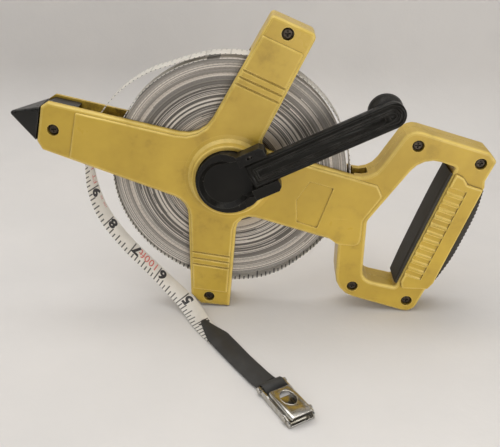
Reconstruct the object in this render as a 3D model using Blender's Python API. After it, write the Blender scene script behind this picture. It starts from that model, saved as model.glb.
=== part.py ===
"""Open-reel long tape measure with a folding crank and a D handle.

Everything is laid out round the reel's axle: X points to the handle, Y away from the crank side and Z up.
The frame is two moulded shells that meet on the plane Y = 0, and the roll turns between them.
"""

import math

import bmesh
import bpy
from mathutils import Matrix, Vector

MM = 0.001

# The tape and its roll
TAPE_WIDTH = 13.0 * MM
TAPE_THICKNESS = 0.45 * MM
ROLL_RADIUS = 77.8 * MM
ROLL_STEPS = 7
ROLL_STEP_DEPTH = 0.35 * MM
DRUM_RADIUS = 31.0 * MM
DRUM_RIM = 3.2 * MM
DRUM_WEB = 2.4 * MM
DRUM_BOSS_RADIUS = 13.0 * MM

# The frame's two shells
FRAME_THICKNESS = 22.0 * MM
EDGE_ROUND = 2.0 * MM
PANEL_RAISE = 1.3 * MM
PANEL_ROUND = 1.2 * MM
GRIP_RAISE = 2.4 * MM
ROLL_CLEARANCE = 3.6 * MM
ROLL_SIDE_GAP = 0.7 * MM
HUB_HEIGHT = 101.65 * MM
MIDDLE_X = 13.5 * MM
MIDDLE_Y = -7.55 * MM
ARM_SLOT_TOP = 60.0 * MM
ARM_SLOT_FOOT = -14.0 * MM
ARM_SLOT_ROOT = -60.0 * MM
NECK_SLOT_START = 76.0 * MM
NECK_SLOT_END = 90.4 * MM
NECK_SLOT_FOOT = -11.0 * MM
NECK_SLOT_WIDTH = 9.0 * MM

# Collars round the reel's shaft
COLLAR_RADIUS = 24.2 * MM
COLLAR_BORE = 21.3 * MM
COLLAR_RAISE = 8.0 * MM
COLLAR_FOOT = 5.0 * MM
REAR_COLLAR_RADIUS = 19.0 * MM
REAR_COLLAR_BORE = 15.6 * MM
REAR_COLLAR_RAISE = 3.4 * MM
CUP_FLOOR = 1.2 * MM

# Screws that hold the shells together
SCREW_HEAD_RADIUS = 3.1 * MM
SCREW_HEAD_HEIGHT = 2.2 * MM
SCREW_SHANK_RADIUS = 1.5 * MM
SCREW_SINK = 1.6 * MM
SCREW_BORE = 3.9 * MM
SCREW_REACH = 7.0 * MM

# Crank, with stand-offs measured from the frame's front face
SHAFT_RADIUS = 8.6 * MM
HUB_RADIUS = 20.7 * MM
HUB_DISH_RADIUS = 16.6 * MM
HUB_DISH_FLOOR_RADIUS = 13.7 * MM
HUB_DISH_MIDDLE = -2.4 * MM
HUB_DISH_SIDE = 12.0 * MM
EAR_HEEL = 8.2 * MM
EAR_RISE = 9.0 * MM
HUB_RIM_STANDOFF = 11.6 * MM
HUB_FLOOR_STANDOFF = 8.6 * MM
FORK_WIDTH = 31.4 * MM
FORK_LENGTH = 31.2 * MM
FORK_STANDOFF = 18.2 * MM
FORK_FOOT_STANDOFF = 8.6 * MM
CRANK_ANGLE = math.radians(26.0)
CRANK_WIDTH = 16.3 * MM
CRANK_THICKNESS = 6.0 * MM
CRANK_REACH = 109.6 * MM
CRANK_GROOVE_DEPTH = 0.7 * MM
CRANK_BORDER = 1.7 * MM
CRANK_GROOVE_WIDTH = 1.5 * MM
CRANK_DIMPLE_RADIUS = 2.3 * MM
HINGE_REACH = 21.2 * MM
HINGE_STANDOFF = 15.2 * MM
HINGE_PIN_RADIUS = 1.4 * MM
CRANK_HEEL = 5.4 * MM
KNOB_RADIUS = 11.0 * MM
KNOB_NECK_RADIUS = 9.0 * MM
KNOB_REACH = 107.0 * MM
KNOB_CLEARANCE = 0.7 * MM
KNOB_PIN_RADIUS = 2.2 * MM
KNOB_PIN_HEAD_RADIUS = 4.0 * MM
KNOB_PIN_HEAD = 1.6 * MM
REEL_SCREW_RADIUS = 2.0 * MM
REEL_SCREW_HEAD_RADIUS = 4.2 * MM

# Grip pads
FINGER_PAD = 2.8 * MM
PALM_SWELL = 5.4 * MM
PALM_RIBS = 25
PALM_RIB_DEPTH = 0.8 * MM
GRIP_RAMPS = 12
RAMP_PITCH = 5.95 * MM
RAMP_WIDTH = 4.7 * MM
RAMP_LENGTH = 13.0 * MM
RAMP_DROP = 2.0 * MM
RAMP_END_DROP = 0.8 * MM
RAMP_START = 12.5 * MM

# End hook, with lengths measured forwards from its rear pin
HOOK_PLACE = (30.2, -97.5)
HOOK_ANGLE = math.radians(-57.5)
HOOK_WIDTH = 17.4 * MM
HOOK_FRONT = 32.0 * MM
HOOK_SHEET = 0.9 * MM
HOOK_FLOOR_START = 9.5 * MM
HOOK_LIFT = 0.3 * MM
HOOK_PIN_RADIUS = 1.2 * MM
HOOK_PIN_HEIGHT = 3.6 * MM
HOOK_PIN_HEAD_RADIUS = 1.9 * MM
HOOK_PIN_HEAD = 0.7 * MM
HOOK_PIN_SPACING = 27.0 * MM
CLAW_WIDTH = 13.8 * MM
CLAW_REAR = 8.4 * MM
CLAW_FRONT = 32.7 * MM
CLAW_TOP = 8.0 * MM
CLAW_FLANGE = 4.4 * MM
CLAW_EYE_RADIUS = 4.7 * MM
CLAW_EYE_INSET = 9.2 * MM
CLAW_EYE_STRETCH = 1.3
HOOK_BOSS_PLACE = 19.5 * MM
HOOK_BOSS_STRETCH = 1.15
# Radius and rise of the boss's rings, in mm
HOOK_BOSS = ((3.6, 0.0), (3.3, 1.2), (2.4, 2.1), (1.0, 2.5))
# Side of the hook's channel, in mm from the strap's pin and from the floor
HOOK_CHEEK = (
    (-2.2, 1.2), (-2.2, 4.4), (-1.0, 5.4), (8.0, 5.4), (10.0, 5.0), (24.0, 5.0), (26.0, 5.4), (30.0, 4.8),
    (32.0, 3.2), (32.0, 0.3), (8.5, 0.3), (5.0, 0.8),
)
CLAW_KNUCKLE = 2.1 * MM
STRAP_THICKNESS = 1.0 * MM
STRAP_WIDTH = 17.0 * MM
STRAP_END_WIDTH = 13.6 * MM
STRAP_POINT = 23.0 * MM
STRAP_TAPER = 50.0 * MM

# Fits
GAP = 0.3 * MM
RUNNING_GAP = 0.4 * MM

FRONT = -1
REAR = 1
HALF = FRAME_THICKNESS / 2
INNER_FACE = TAPE_WIDTH / 2 + ROLL_SIDE_GAP
POCKET_RADIUS = ROLL_RADIUS + ROLL_CLEARANCE
ARC_STEPS = 4
ROUND_STEPS = 3

# Corners of outlines seen from the crank side: x and z from the axle, and corner radius, all in mm
OUTLINE = [
    (-114.1, 48.4, 1.0), (-17.4, 26.4, 20.0),
    (25.9, 103.0, 2.5), (53.3, 91.3, 3.5), (18.6, 19.9, 6.0),
    (92.0, -1.5, 15.0), (113.8, 34.3, 10.0), (165.3, 19.0, 2.5), (170.2, 13.2, 2.5),
    (165.0, -0.5, 1.0), (165.4, -5.0, 1.5), (141.7, -78.0, 2.5), (136.6, -83.8, 1.5),
    (129.3, -103.5, 8.0), (73.6, -86.8, 18.0), (73.6, -46.8, 3.0),
    (5.3, -26.3, 10.0), (-0.9, -101.6, 1.2), (-21.6, -99.5, 1.0), (-28.3, -91.8, 1.2),
    (-28.0, -18.6, 14.0), (-121.6, 16.4, 2.0), (-124.5, 22.4, 1.5), (-119.0, 45.3, 1.0),
]
HANDLE_OPENING = [
    (92.0, -31.0, 8.0), (92.0, -76.5, 9.0), (115.3, -81.8, 1.5), (144.9, 8.8, 1.5), (123.8, 16.0, 16.0),
]
PANEL = [
    (-96.9, 42.2, 1.5), (-17.9, 24.2, 22.0),
    (20.6, 91.2, 1.0), (45.4, 80.2, 1.0), (16.6, 18.4, 7.0),
    (96.4, -4.2, 2.5), (100.2, -12.2, 2.5), (88.8, -30.0, 6.0), (88.4, -49.5, 5.0), (73.0, -48.2, 6.0),
    (66.0, -42.9, 2.0), (3.2, -24.0, 12.0), (-2.4, -89.2, 1.0), (-26.4, -86.2, 1.0),
    (-26.2, -17.4, 16.0), (-104.2, 11.6, 1.5),
]
GRIP_PANEL = [
    (145.2, 5.4, 1.0), (150.4, 2.4, 1.0), (153.4, -2.2, 1.0), (163.8, -5.6, 1.0), (140.8, -76.6, 2.0),
    (137.4, -81.4, 1.5), (119.6, -81.2, 1.0), (118.6, -76.0, 1.0),
]
LABEL_POCKET = [
    (52.5, -1.8, 0.8), (68.3, -6.4, 0.8), (58.6, -36.0, 0.8), (44.7, -31.6, 0.8), (44.0, -15.4, 0.8),
]
LABEL_DEPTH = 1.0 * MM
SCREW_PLACES = {
    "left_arm_screw": (-112.7, 30.1),
    "top_arm_screw": (35.4, 91.8),
    "foot_screw": (-15.3, -93.0),
    "handle_screw_top_left": (119.5, 23.1),
    "handle_screw_top_right": (160.1, 11.7),
    "handle_screw_bottom_left": (85.6, -81.6),
    "handle_screw_bottom_right": (124.3, -92.5),
}

# The spike's four base corners lie on the left arm's end face
SPIKE_TIP = (-145.0, 38.7)
SPIKE_BASE_TOP = (-119.4, 45.0)
SPIKE_BASE_FOOT = (-124.9, 22.8)

# Middles of the groups of three grooves across the arms, in mm, and their slopes in degrees
ARM_GROOVES = [((20.0, 60.3), -24.6), ((-13.0, -62.7), -8.4)]
GROOVE_SPACING = 4.7 * MM
GROOVE_WIDTH = 2.0 * MM
GROOVE_DEPTH = 1.0 * MM
GROOVE_LENGTH = 40.0 * MM

# The handle bar's finger side and palm side run between these points, in mm
FINGER_TOP = (144.2, 6.6)
FINGER_FOOT = (115.9, -80.0)
PALM_TOP = (164.9, -6.6)
PALM_FOOT = (142.2, -76.4)

# The free tape's middle line, in mm, and the turn of its width away from Y, in degrees
FREE_TAPE_ROUTE = [
    (-14.0, 0.0, 77.9, 0), (-26.7, 0.0, 74.6, 0), (-37.0, 0.0, 71.2, 0), (-49.0, 0.0, 67.2, 0),
    (-61.0, 0.0, 60.6, 0), (-70.5, 0.0, 53.2, 0), (-79.5, 0.0, 43.6, 0), (-87.5, 0.0, 31.5, 0),
    (-92.4, 0.0, 20.0, 0), (-94.6, 0.0, 8.0, 2), (-94.6, -0.6, -2.5, 12), (-93.3, -1.4, -14.3, 19),
    (-89.9, -2.6, -26.5, 22), (-84.3, -3.9, -37.8, 22), (-77.0, -5.2, -48.0, 21), (-68.9, -6.5, -57.8, 21),
    (-60.2, -7.6, -66.9, 21), (-51.6, -8.6, -76.2, 22), (-43.4, -9.9, -85.5, 27), (-34.2, -13.4, -93.0, 32),
    (-26.8, -21.8, -97.6, 28), (-20.9, -32.4, -99.6, 12), (-9.6, -46.6, -100.8, 2), (0.0, -57.0, -101.0, 0),
]
# The strap's middle line from its pointed tip to the hook's rear pin, in mm
STRAP_ROUTE = [
    (-20.0, -31.0, -98.0), (-13.4, -39.9, -98.9), (-5.4, -50.2, -99.5), (9.0, -70.4, -99.6),
    (20.0, -85.6, -99.4), (25.6, -92.8, -97.2), (29.8, -97.8, -95.7), (33.2, -102.4, -95.8),
]


def make_material(name, colour, roughness, metallic=0.0):
    material = bpy.data.materials.new(name)
    material.use_nodes = True
    shader = material.node_tree.nodes["Principled BSDF"]
    shader.inputs["Base Color"].default_value = (*colour, 1.0)
    shader.inputs["Roughness"].default_value = roughness
    shader.inputs["Metallic"].default_value = metallic
    material.diffuse_color = (*colour, 1.0)
    return material


def add_mesh(name, mesh_builder, collection, material=None):
    """An object from a bmesh, with its faces turned outwards."""
    bmesh.ops.recalc_face_normals(mesh_builder, faces=mesh_builder.faces)
    mesh = bpy.data.meshes.new(name)
    mesh_builder.to_mesh(mesh)
    mesh_builder.free()
    if material is not None:
        mesh.materials.append(material)
    thing = bpy.data.objects.new(name, mesh)
    collection.objects.link(thing)
    return thing


def add_rings(mesh_builder, rings):
    """A closed solid through rings of points that all have the same count."""
    loops = [[mesh_builder.verts.new(point) for point in ring] for ring in rings]
    count = len(loops[0])
    for first, second in zip(loops, loops[1:]):
        for index in range(count):
            following = (index + 1) % count
            mesh_builder.faces.new((first[index], first[following], second[following], second[index]))
    mesh_builder.faces.new(loops[0])
    mesh_builder.faces.new(loops[-1])


def add_ring(mesh_builder, rings):
    """A closed solid round a run of rings, the last joined to the first."""
    loops = [[mesh_builder.verts.new(point) for point in ring] for ring in rings]
    count = len(loops[0])
    for index, first in enumerate(loops):
        second = loops[(index + 1) % len(loops)]
        for step in range(count):
            after = (step + 1) % count
            mesh_builder.faces.new((first[step], first[after], second[after], second[step]))


def rounded_outline(corners, inset=0.0):
    """The outline as (x, z) points, with round corners, moved inwards by the inset."""
    places = [Vector((x * MM, z * MM)) for x, z, _ in corners]
    count = len(places)
    area = sum(places[i - 1].x * places[i].y - places[i].x * places[i - 1].y for i in range(count))
    turn = 1.0 if area > 0 else -1.0
    points = []
    for index, (_, _, radius) in enumerate(corners):
        corner = places[index]
        incoming = (corner - places[index - 1]).normalized()
        outgoing = (places[(index + 1) % count] - corner).normalized()
        normal_in = Vector((-incoming.y, incoming.x)) * turn
        normal_out = Vector((-outgoing.y, outgoing.x)) * turn
        corner = corner + (normal_in + normal_out) / (1.0 + normal_in.dot(normal_out)) * inset
        convex = (incoming.x * outgoing.y - incoming.y * outgoing.x) * turn > 0
        side = 1.0 if convex else -1.0
        arc_radius = max(radius * MM - side * inset, 0.05 * MM)
        angle = incoming.angle(outgoing)
        tangent = arc_radius * math.tan(angle / 2)
        start = corner - incoming * tangent
        centre = start + normal_in * side * arc_radius
        spoke = start - centre
        sweep = angle * side * turn
        for step in range(ARC_STEPS + 1):
            turned = Matrix.Rotation(sweep * step / ARC_STEPS, 2) @ spoke
            points.append(centre + turned)
    return points


def edge_levels(face, radius):
    """Depth and inset of each ring that rounds an edge up to the face."""
    levels = []
    for step in range(ROUND_STEPS + 1):
        angle = math.pi / 2 * step / ROUND_STEPS
        levels.append((face - radius * (1 - math.sin(angle)), radius * (1 - math.cos(angle))))
    return levels


def add_slab(mesh_builder, corners, side, base, face, radius):
    """A slab from the base depth to the face, its outer edge rounded."""
    rings = []
    for depth, inset in [(base, 0.0)] + edge_levels(face, radius):
        rings.append([(point.x, side * depth, point.y) for point in rounded_outline(corners, inset)])
    add_rings(mesh_builder, rings)


def add_lathe(mesh_builder, profile, centre=(0.0, 0.0), segments=48):
    """A turned solid about an axle along Y, from (radius, y) points that start and end at its middle."""
    poles = [mesh_builder.verts.new((centre[0], profile[end][1], centre[1])) for end in (0, -1)]
    rings = []
    for radius, depth in profile[1:-1]:
        ring = []
        for index in range(segments):
            angle = 2 * math.pi * index / segments
            place = (centre[0] + radius * math.cos(angle), depth, centre[1] + radius * math.sin(angle))
            ring.append(mesh_builder.verts.new(place))
        rings.append(ring)
    for index in range(segments):
        following = (index + 1) % segments
        for first, second in zip(rings, rings[1:]):
            mesh_builder.faces.new((first[index], first[following], second[following], second[index]))
        mesh_builder.faces.new((poles[0], rings[0][following], rings[0][index]))
        mesh_builder.faces.new((poles[1], rings[-1][index], rings[-1][following]))


def add_tube(mesh_builder, profile, segments=48):
    """A turned ring about the axle from a closed run of (radius, y) points."""
    rings = []
    for index in range(segments):
        angle = 2 * math.pi * index / segments
        turned = [(radius * math.cos(angle), depth, radius * math.sin(angle)) for radius, depth in profile]
        rings.append([mesh_builder.verts.new(place) for place in turned])
    count = len(profile)
    for index in range(segments):
        first = rings[index]
        second = rings[(index + 1) % segments]
        for step in range(count):
            after = (step + 1) % count
            mesh_builder.faces.new((first[step], first[after], second[after], second[step]))


def add_box(mesh_builder, size, place, turn=Matrix.Identity(4)):
    """A box of the given size about a place."""
    matrix = Matrix.Translation(place) @ turn @ Matrix.Diagonal((*size, 1.0))
    bmesh.ops.create_cube(mesh_builder, size=1.0, matrix=matrix)


def add_cross(mesh_builder, length, width, top, depth):
    """A plus-shaped prism along Y for a cross recess."""
    far = length / 2
    near = width / 2
    quarter = [(far, -near), (far, near), (near, near)]
    points = []
    for turn in range(4):
        points += [Matrix.Rotation(math.pi / 2 * turn, 2) @ Vector(place) for place in quarter]
    add_rings(mesh_builder, [[(p.x, y, p.y) for p in points] for y in (top - depth, top + depth)])


def apply_shape(target, mesh_builder, operation, label):
    """One exact boolean of the target with a hidden shape."""
    tool = add_mesh(f"{target.name}_{label}", mesh_builder, cutters)
    tool.hide_render = True
    tool.display_type = "WIRE"
    tool.parent = target.parent
    tool.matrix_basis = target.matrix_basis.copy()
    modifier = target.modifiers.new(label, "BOOLEAN")
    modifier.operation = operation
    modifier.solver = "EXACT"
    modifier.object = tool


def smooth(thing, degrees=35.0):
    for polygon in thing.data.polygons:
        polygon.use_smooth = True
    thing.data.set_sharp_from_angle(angle=math.radians(degrees))


def screw_is_blind(side):
    return side == REAR


def collar_profile(side):
    """The collar that guards the hub, or the lower one round the rear cap, with a coved foot."""
    radius = COLLAR_RADIUS if side == FRONT else REAR_COLLAR_RADIUS
    raised = COLLAR_RAISE if side == FRONT else REAR_COLLAR_RAISE
    foot = COLLAR_FOOT if side == FRONT else REAR_COLLAR_RAISE
    lip = 1.1 * MM
    base = HALF + PANEL_RAISE
    profile = [(0.0, HALF - 2 * MM), (radius + foot, HALF - 2 * MM), (radius + foot, base)]
    for step in range(1, ROUND_STEPS + 1):
        angle = math.pi / 2 * step / ROUND_STEPS
        cove = (raised - lip) * (1 - math.cos(angle))
        height = base + cove - PANEL_RAISE * step / ROUND_STEPS
        profile.append((radius + foot * (1 - math.sin(angle)), height))
    for step in range(1, ROUND_STEPS + 1):
        angle = math.pi / 2 * step / ROUND_STEPS
        profile.append((radius - lip * (1 - math.cos(angle)), HALF + raised - lip * (1 - math.sin(angle))))
    profile.append((0.0, HALF + raised))
    return [(reach, side * depth) for reach, depth in profile]


def make_shell(name, side):
    """One moulded half of the frame."""
    body = bmesh.new()
    add_slab(body, OUTLINE, side, GAP / 2, HALF, EDGE_ROUND)
    shell = add_mesh(name, body, parts, yellow)

    opening = bmesh.new()
    rings = []
    levels = [(-1 * MM, 0.0)] + edge_levels(HALF, EDGE_ROUND) + [(HALF + 4 * MM, EDGE_ROUND)]
    for depth, flare in levels:
        rings.append([(p.x, side * depth, p.y) for p in rounded_outline(HANDLE_OPENING, -flare)])
    add_rings(opening, rings)
    apply_shape(shell, opening, "DIFFERENCE", "opening")

    panel = bmesh.new()
    add_slab(panel, PANEL, side, HALF - 1.5 * MM, HALF + PANEL_RAISE, PANEL_ROUND)
    apply_shape(shell, panel, "UNION", "panel")
    grip = bmesh.new()
    add_slab(grip, GRIP_PANEL, side, HALF - 1.6 * MM, HALF + GRIP_RAISE, PANEL_ROUND)
    apply_shape(shell, grip, "UNION", "grip_panel")
    collar = bmesh.new()
    add_lathe(collar, collar_profile(side), segments=48)
    apply_shape(shell, collar, "UNION", "collar")

    pocket = bmesh.new()
    inner = side * INNER_FACE
    past = -side * 2 * MM
    add_lathe(pocket, [(0, inner), (POCKET_RADIUS, inner), (POCKET_RADIUS, past), (0, past)], segments=72)
    apply_shape(shell, pocket, "DIFFERENCE", "roll_pocket")
    slot = bmesh.new()
    depth = INNER_FACE + 2 * MM
    reach = 140 * MM + ARM_SLOT_ROOT
    size = (reach, depth, ARM_SLOT_TOP - ARM_SLOT_FOOT)
    level = (ARM_SLOT_TOP + ARM_SLOT_FOOT) / 2
    add_box(slot, size, (ARM_SLOT_ROOT - reach / 2, inner - side * depth / 2, level))
    apply_shape(shell, slot, "DIFFERENCE", "arm_slot")

    neck = bmesh.new()
    size = (NECK_SLOT_END - NECK_SLOT_START, NECK_SLOT_WIDTH, 40 * MM)
    add_box(neck, size, ((NECK_SLOT_END + NECK_SLOT_START) / 2, 0, NECK_SLOT_FOOT + 20 * MM))
    apply_shape(shell, neck, "DIFFERENCE", "neck_slot")

    bore = bmesh.new()
    radius = COLLAR_BORE if side == FRONT else REAR_COLLAR_BORE
    hole = SHAFT_RADIUS + RUNNING_GAP
    floor = side * (HALF + CUP_FLOOR - 2 * MM)
    outside = side * (HALF + 20 * MM)
    profile = [(0, 0), (hole, 0), (hole, floor), (radius, floor), (radius, outside), (0, outside)]
    add_lathe(bore, profile, segments=48)
    apply_shape(shell, bore, "DIFFERENCE", "shaft_bore")

    add_screw_holes(shell, side)
    add_surface_cuts(shell, side)
    smooth(shell)
    return shell


def add_screw_holes(shell, side):
    """Deep counterbores on the crank side, and blind pilot holes in the other shell."""
    holes = bmesh.new()
    shank = SCREW_SHANK_RADIUS + GAP
    seat = HALF - SCREW_SINK - SCREW_HEAD_HEIGHT - GAP
    for x, z in SCREW_PLACES.values():
        if screw_is_blind(side):
            end = SCREW_REACH + GAP
            profile = [(0, -MM), (shank, -MM), (shank, end), (0, end)]
        else:
            face = HALF + 2 * MM
            profile = [(0, MM), (shank, MM), (shank, -seat)]
            profile += [(SCREW_BORE, -seat), (SCREW_BORE, -face), (0, -face)]
        add_lathe(holes, profile, (x * MM, z * MM), segments=14)
    apply_shape(shell, holes, "DIFFERENCE", "screw_holes")


def add_surface_cuts(shell, side):
    """Grooves across two arms, the label's pocket and the ramps beside the finger grip."""
    grooves = bmesh.new()
    for (x, z), slope in ARM_GROOVES:
        turn = Matrix.Rotation(math.radians(-slope), 4, "Y")
        step = turn @ Vector((0, 0, GROOVE_SPACING))
        for index in (-1, 0, 1):
            place = Vector((x * MM, side * (HALF + PANEL_RAISE), z * MM)) + step * index
            ends = []
            for run in (-GROOVE_LENGTH / 2, GROOVE_LENGTH / 2):
                section = [(-0.5, 0), (-0.12, -1), (0.12, -1), (0.5, 0), (0.5, 1), (-0.5, 1)]
                ring = []
                for a, b in section:
                    ring.append(place + turn @ Vector((run, side * b * GROOVE_DEPTH, a * GROOVE_WIDTH)))
                ends.append(ring)
            add_rings(grooves, ends)
    apply_shape(shell, grooves, "DIFFERENCE", "grooves")
    label = bmesh.new()
    face = HALF + PANEL_RAISE
    rings = []
    for depth, inset in ((face - LABEL_DEPTH, 0.4 * MM), (face, 0.0), (face + MM, 0.0)):
        rings.append([(p.x, side * depth, p.y) for p in rounded_outline(LABEL_POCKET, inset)])
    add_rings(label, rings)
    apply_shape(shell, label, "DIFFERENCE", "label_pocket")
    ramps = bmesh.new()
    top = Vector((FINGER_TOP[0], 0, FINGER_TOP[1])) * MM
    foot = Vector((FINGER_FOOT[0], 0, FINGER_FOOT[1])) * MM
    along = (foot - top).normalized()
    across = Vector((-along.z, 0, along.x))
    half = RAMP_WIDTH / 2
    for index in range(GRIP_RAMPS):
        middle = top + along * (RAMP_START + RAMP_PITCH * index)
        ends = []
        for run, drop in ((-3 * MM, RAMP_DROP), (RAMP_LENGTH, RAMP_END_DROP)):
            section = [(-half, 2 * MM), (-half, -0.35 * drop), (-0.6 * half, -drop), (0.6 * half, -drop)]
            section += [(half, -0.35 * drop), (half, 2 * MM)]
            ring = []
            for place, rise in section:
                spot = middle + along * place + across * run
                spot.y = side * (HALF + GRIP_RAISE + rise)
                ring.append(spot)
            ends.append(ring)
        add_rings(ramps, ends)
    apply_shape(shell, ramps, "DIFFERENCE", "finger_ramps")


def make_spike():
    """Pointed tip with a flat tenon that the left arm's shells clamp."""
    spike = bmesh.new()
    reach = HALF - 0.4 * MM
    corners = []
    for x, z in (SPIKE_BASE_TOP, SPIKE_BASE_FOOT):
        for depth in (-reach, reach):
            corners.append(spike.verts.new((x * MM - GAP, depth, z * MM)))
    tip = spike.verts.new((SPIKE_TIP[0] * MM, 0, SPIKE_TIP[1] * MM))
    order = (corners[0], corners[1], corners[3], corners[2])
    spike.faces.new(order)
    for index in range(4):
        spike.faces.new((order[index], order[(index + 1) % 4], tip))
    bmesh.ops.recalc_face_normals(spike, faces=spike.faces)
    edges = [edge for edge in spike.edges if tip in edge.verts]
    bmesh.ops.bevel(spike, geom=edges, offset=1.4 * MM, segments=3, profile=0.5,
                    affect="EDGES", clamp_overlap=True)
    thing = add_mesh("ground_spike", spike, parts, black)
    tenon = bmesh.new()
    outline = [(-126.4, 23.8), (-120.8, 44.0), (-113.6, 46.7), (-97.2, 42.9), (-104.6, 11.8), (-119.8, 17.4)]
    depth = INNER_FACE - GAP
    add_rings(tenon, [[(x * MM, y, z * MM) for x, z in outline] for y in (-depth, depth)])
    apply_shape(thing, tenon, "UNION", "tenon")
    hole = bmesh.new()
    radius = SCREW_SHANK_RADIUS + GAP
    x, z = SCREW_PLACES["left_arm_screw"]
    add_lathe(hole, [(0, -HALF), (radius, -HALF), (radius, HALF), (0, HALF)], (x * MM, z * MM), segments=14)
    apply_shape(thing, hole, "DIFFERENCE", "screw_hole")
    smooth(thing)


def make_screws():
    """Cross-head screws, each its own piece, in the crank-side counterbores."""
    top = -(HALF - SCREW_SINK)
    under = top + SCREW_HEAD_HEIGHT
    round_over = 0.5 * MM
    profile = [(0, top), (SCREW_HEAD_RADIUS - round_over, top), (SCREW_HEAD_RADIUS, top + round_over)]
    profile += [(SCREW_HEAD_RADIUS, under), (SCREW_SHANK_RADIUS, under)]
    profile += [(SCREW_SHANK_RADIUS, SCREW_REACH - MM)]
    profile += [(SCREW_SHANK_RADIUS / 2, SCREW_REACH), (0, SCREW_REACH)]
    for name, (x, z) in SCREW_PLACES.items():
        body = bmesh.new()
        add_lathe(body, profile, segments=14)
        screw = add_mesh(name, body, parts, dark_steel)
        screw.location = (x * MM, 0, z * MM)
        cross = bmesh.new()
        add_cross(cross, 3.6 * MM, 0.9 * MM, top, 1.1 * MM)
        apply_shape(screw, cross, "DIFFERENCE", "cross_recess")
        smooth(screw)


def bar_frame(top, foot):
    """A placing matrix on one side of the handle's bar: X out of the bar, Y along the axle, Z up the bar."""
    start = Vector((foot[0], 0, foot[1])) * MM
    up = Vector((top[0] - foot[0], 0, top[1] - foot[1])).normalized()
    out = Vector((up.z, 0, -up.x))
    matrix = Matrix((out, Vector((0, 1, 0)), up)).transposed().to_4x4()
    matrix.translation = start
    return matrix, (Vector(top) - Vector(foot)).length * MM


def make_finger_grip():
    """Smooth pad along the finger side of the bar, thickest at its middle."""
    matrix, length = bar_frame(FINGER_TOP, FINGER_FOOT)
    steps = 14
    body = bmesh.new()
    rings = []
    for index in range(steps + 1):
        share = index / steps
        height = 1.5 * MM + (length - 3.5 * MM) * share
        thick = FINGER_PAD * (0.7 + 0.3 * (1 - abs(2 * share - 1) ** 3))
        edge = HALF - 0.5 * MM
        section = [(-GAP, edge), (-0.6 * thick, edge), (-thick, edge - 1.4 * MM)]
        section += [(-thick, -edge + 1.4 * MM), (-0.6 * thick, -edge), (-GAP, -edge)]
        rings.append([matrix @ Vector((x, y, height)) for x, y in section])
    add_rings(body, rings)
    smooth(add_mesh("finger_grip", body, parts, rubber), 30.0)


def make_palm_grip():
    """Swelling, ribbed pad along the palm side of the bar."""
    matrix, length = bar_frame(PALM_TOP, PALM_FOOT)
    steps = 2 * PALM_RIBS
    body = bmesh.new()
    rings = []
    half_width = HALF - 1.2 * MM
    for index in range(steps + 1):
        share = index / steps
        height = MM + (length - 2 * MM) * share
        swell = PALM_SWELL * (1 - abs(2 * share - 1) ** 3.2) + 0.8 * MM
        ripple = PALM_RIB_DEPTH * (index % 2)
        section = [(GAP, -half_width)]
        for step in range(1, 10):
            angle = math.pi * step / 10
            section.append((GAP + (swell - ripple) * math.sin(angle) ** 0.8, -half_width * math.cos(angle)))
        section.append((GAP, half_width))
        rings.append([matrix @ Vector((x, y, height)) for x, y in section])
    add_rings(body, rings)
    smooth(add_mesh("palm_grip", body, parts, rubber), 30.0)


def make_reel():
    """Drum with a web, and the wound tape with stepped edges."""
    reel = bpy.data.objects.new("reel_axis", None)
    parts.objects.link(reel)
    half = TAPE_WIDTH / 2
    web = DRUM_WEB / 2
    bore = SHAFT_RADIUS + GAP
    drum = bmesh.new()
    inner = DRUM_RADIUS - DRUM_RIM
    profile = [(bore, -half), (DRUM_BOSS_RADIUS, -half), (DRUM_BOSS_RADIUS, -web), (inner, -web)]
    profile += [(inner, -half), (DRUM_RADIUS, -half), (DRUM_RADIUS, half), (inner, half), (inner, web)]
    profile += [(DRUM_BOSS_RADIUS, web), (DRUM_BOSS_RADIUS, half), (bore, half)]
    add_tube(drum, profile, segments=48)
    drum_piece = add_mesh("reel_drum", drum, parts, core_brown)
    drum_piece.parent = reel
    smooth(drum_piece)
    roll = bmesh.new()
    start = DRUM_RADIUS + GAP
    pitch = (ROLL_RADIUS - start) / ROLL_STEPS
    front = []
    for index in range(ROLL_STEPS):
        low = start + pitch * index
        sunk = ROLL_STEP_DEPTH * (index % 2)
        front += [(low, -half + sunk), (low + pitch, -half + sunk)]
    profile = front + [(radius, -depth) for radius, depth in reversed(front)]
    add_tube(roll, profile, segments=60)
    roll_piece = add_mesh("tape_roll", roll, parts, tape_white)
    bmesh_clean(roll_piece)
    roll_piece.parent = reel
    smooth(roll_piece)
    return reel


def bmesh_clean(thing):
    """Join points that lie on each other."""
    cleaner = bmesh.new()
    cleaner.from_mesh(thing.data)
    bmesh.ops.remove_doubles(cleaner, verts=cleaner.verts, dist=0.01 * MM)
    bmesh.ops.recalc_face_normals(cleaner, faces=cleaner.faces)
    cleaner.to_mesh(thing.data)
    cleaner.free()


def fork_outline():
    """The hub seen from the front: a disc that runs out into two straight cheeks."""
    half = FORK_WIDTH / 2
    start = math.pi - math.asin(half / HUB_RADIUS)
    points = [(FORK_LENGTH, -half + 2.2 * MM), (FORK_LENGTH, half - 2.2 * MM), (FORK_LENGTH - 2.2 * MM, half)]
    leave = math.asin(half / HUB_RADIUS)
    steps = 30
    for step in range(steps + 1):
        angle = leave + (2 * math.pi - 2 * leave) * step / steps
        points.append((HUB_RADIUS * math.cos(angle), HUB_RADIUS * math.sin(angle)))
    points.append((FORK_LENGTH - 2.2 * MM, -half))
    return points


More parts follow.
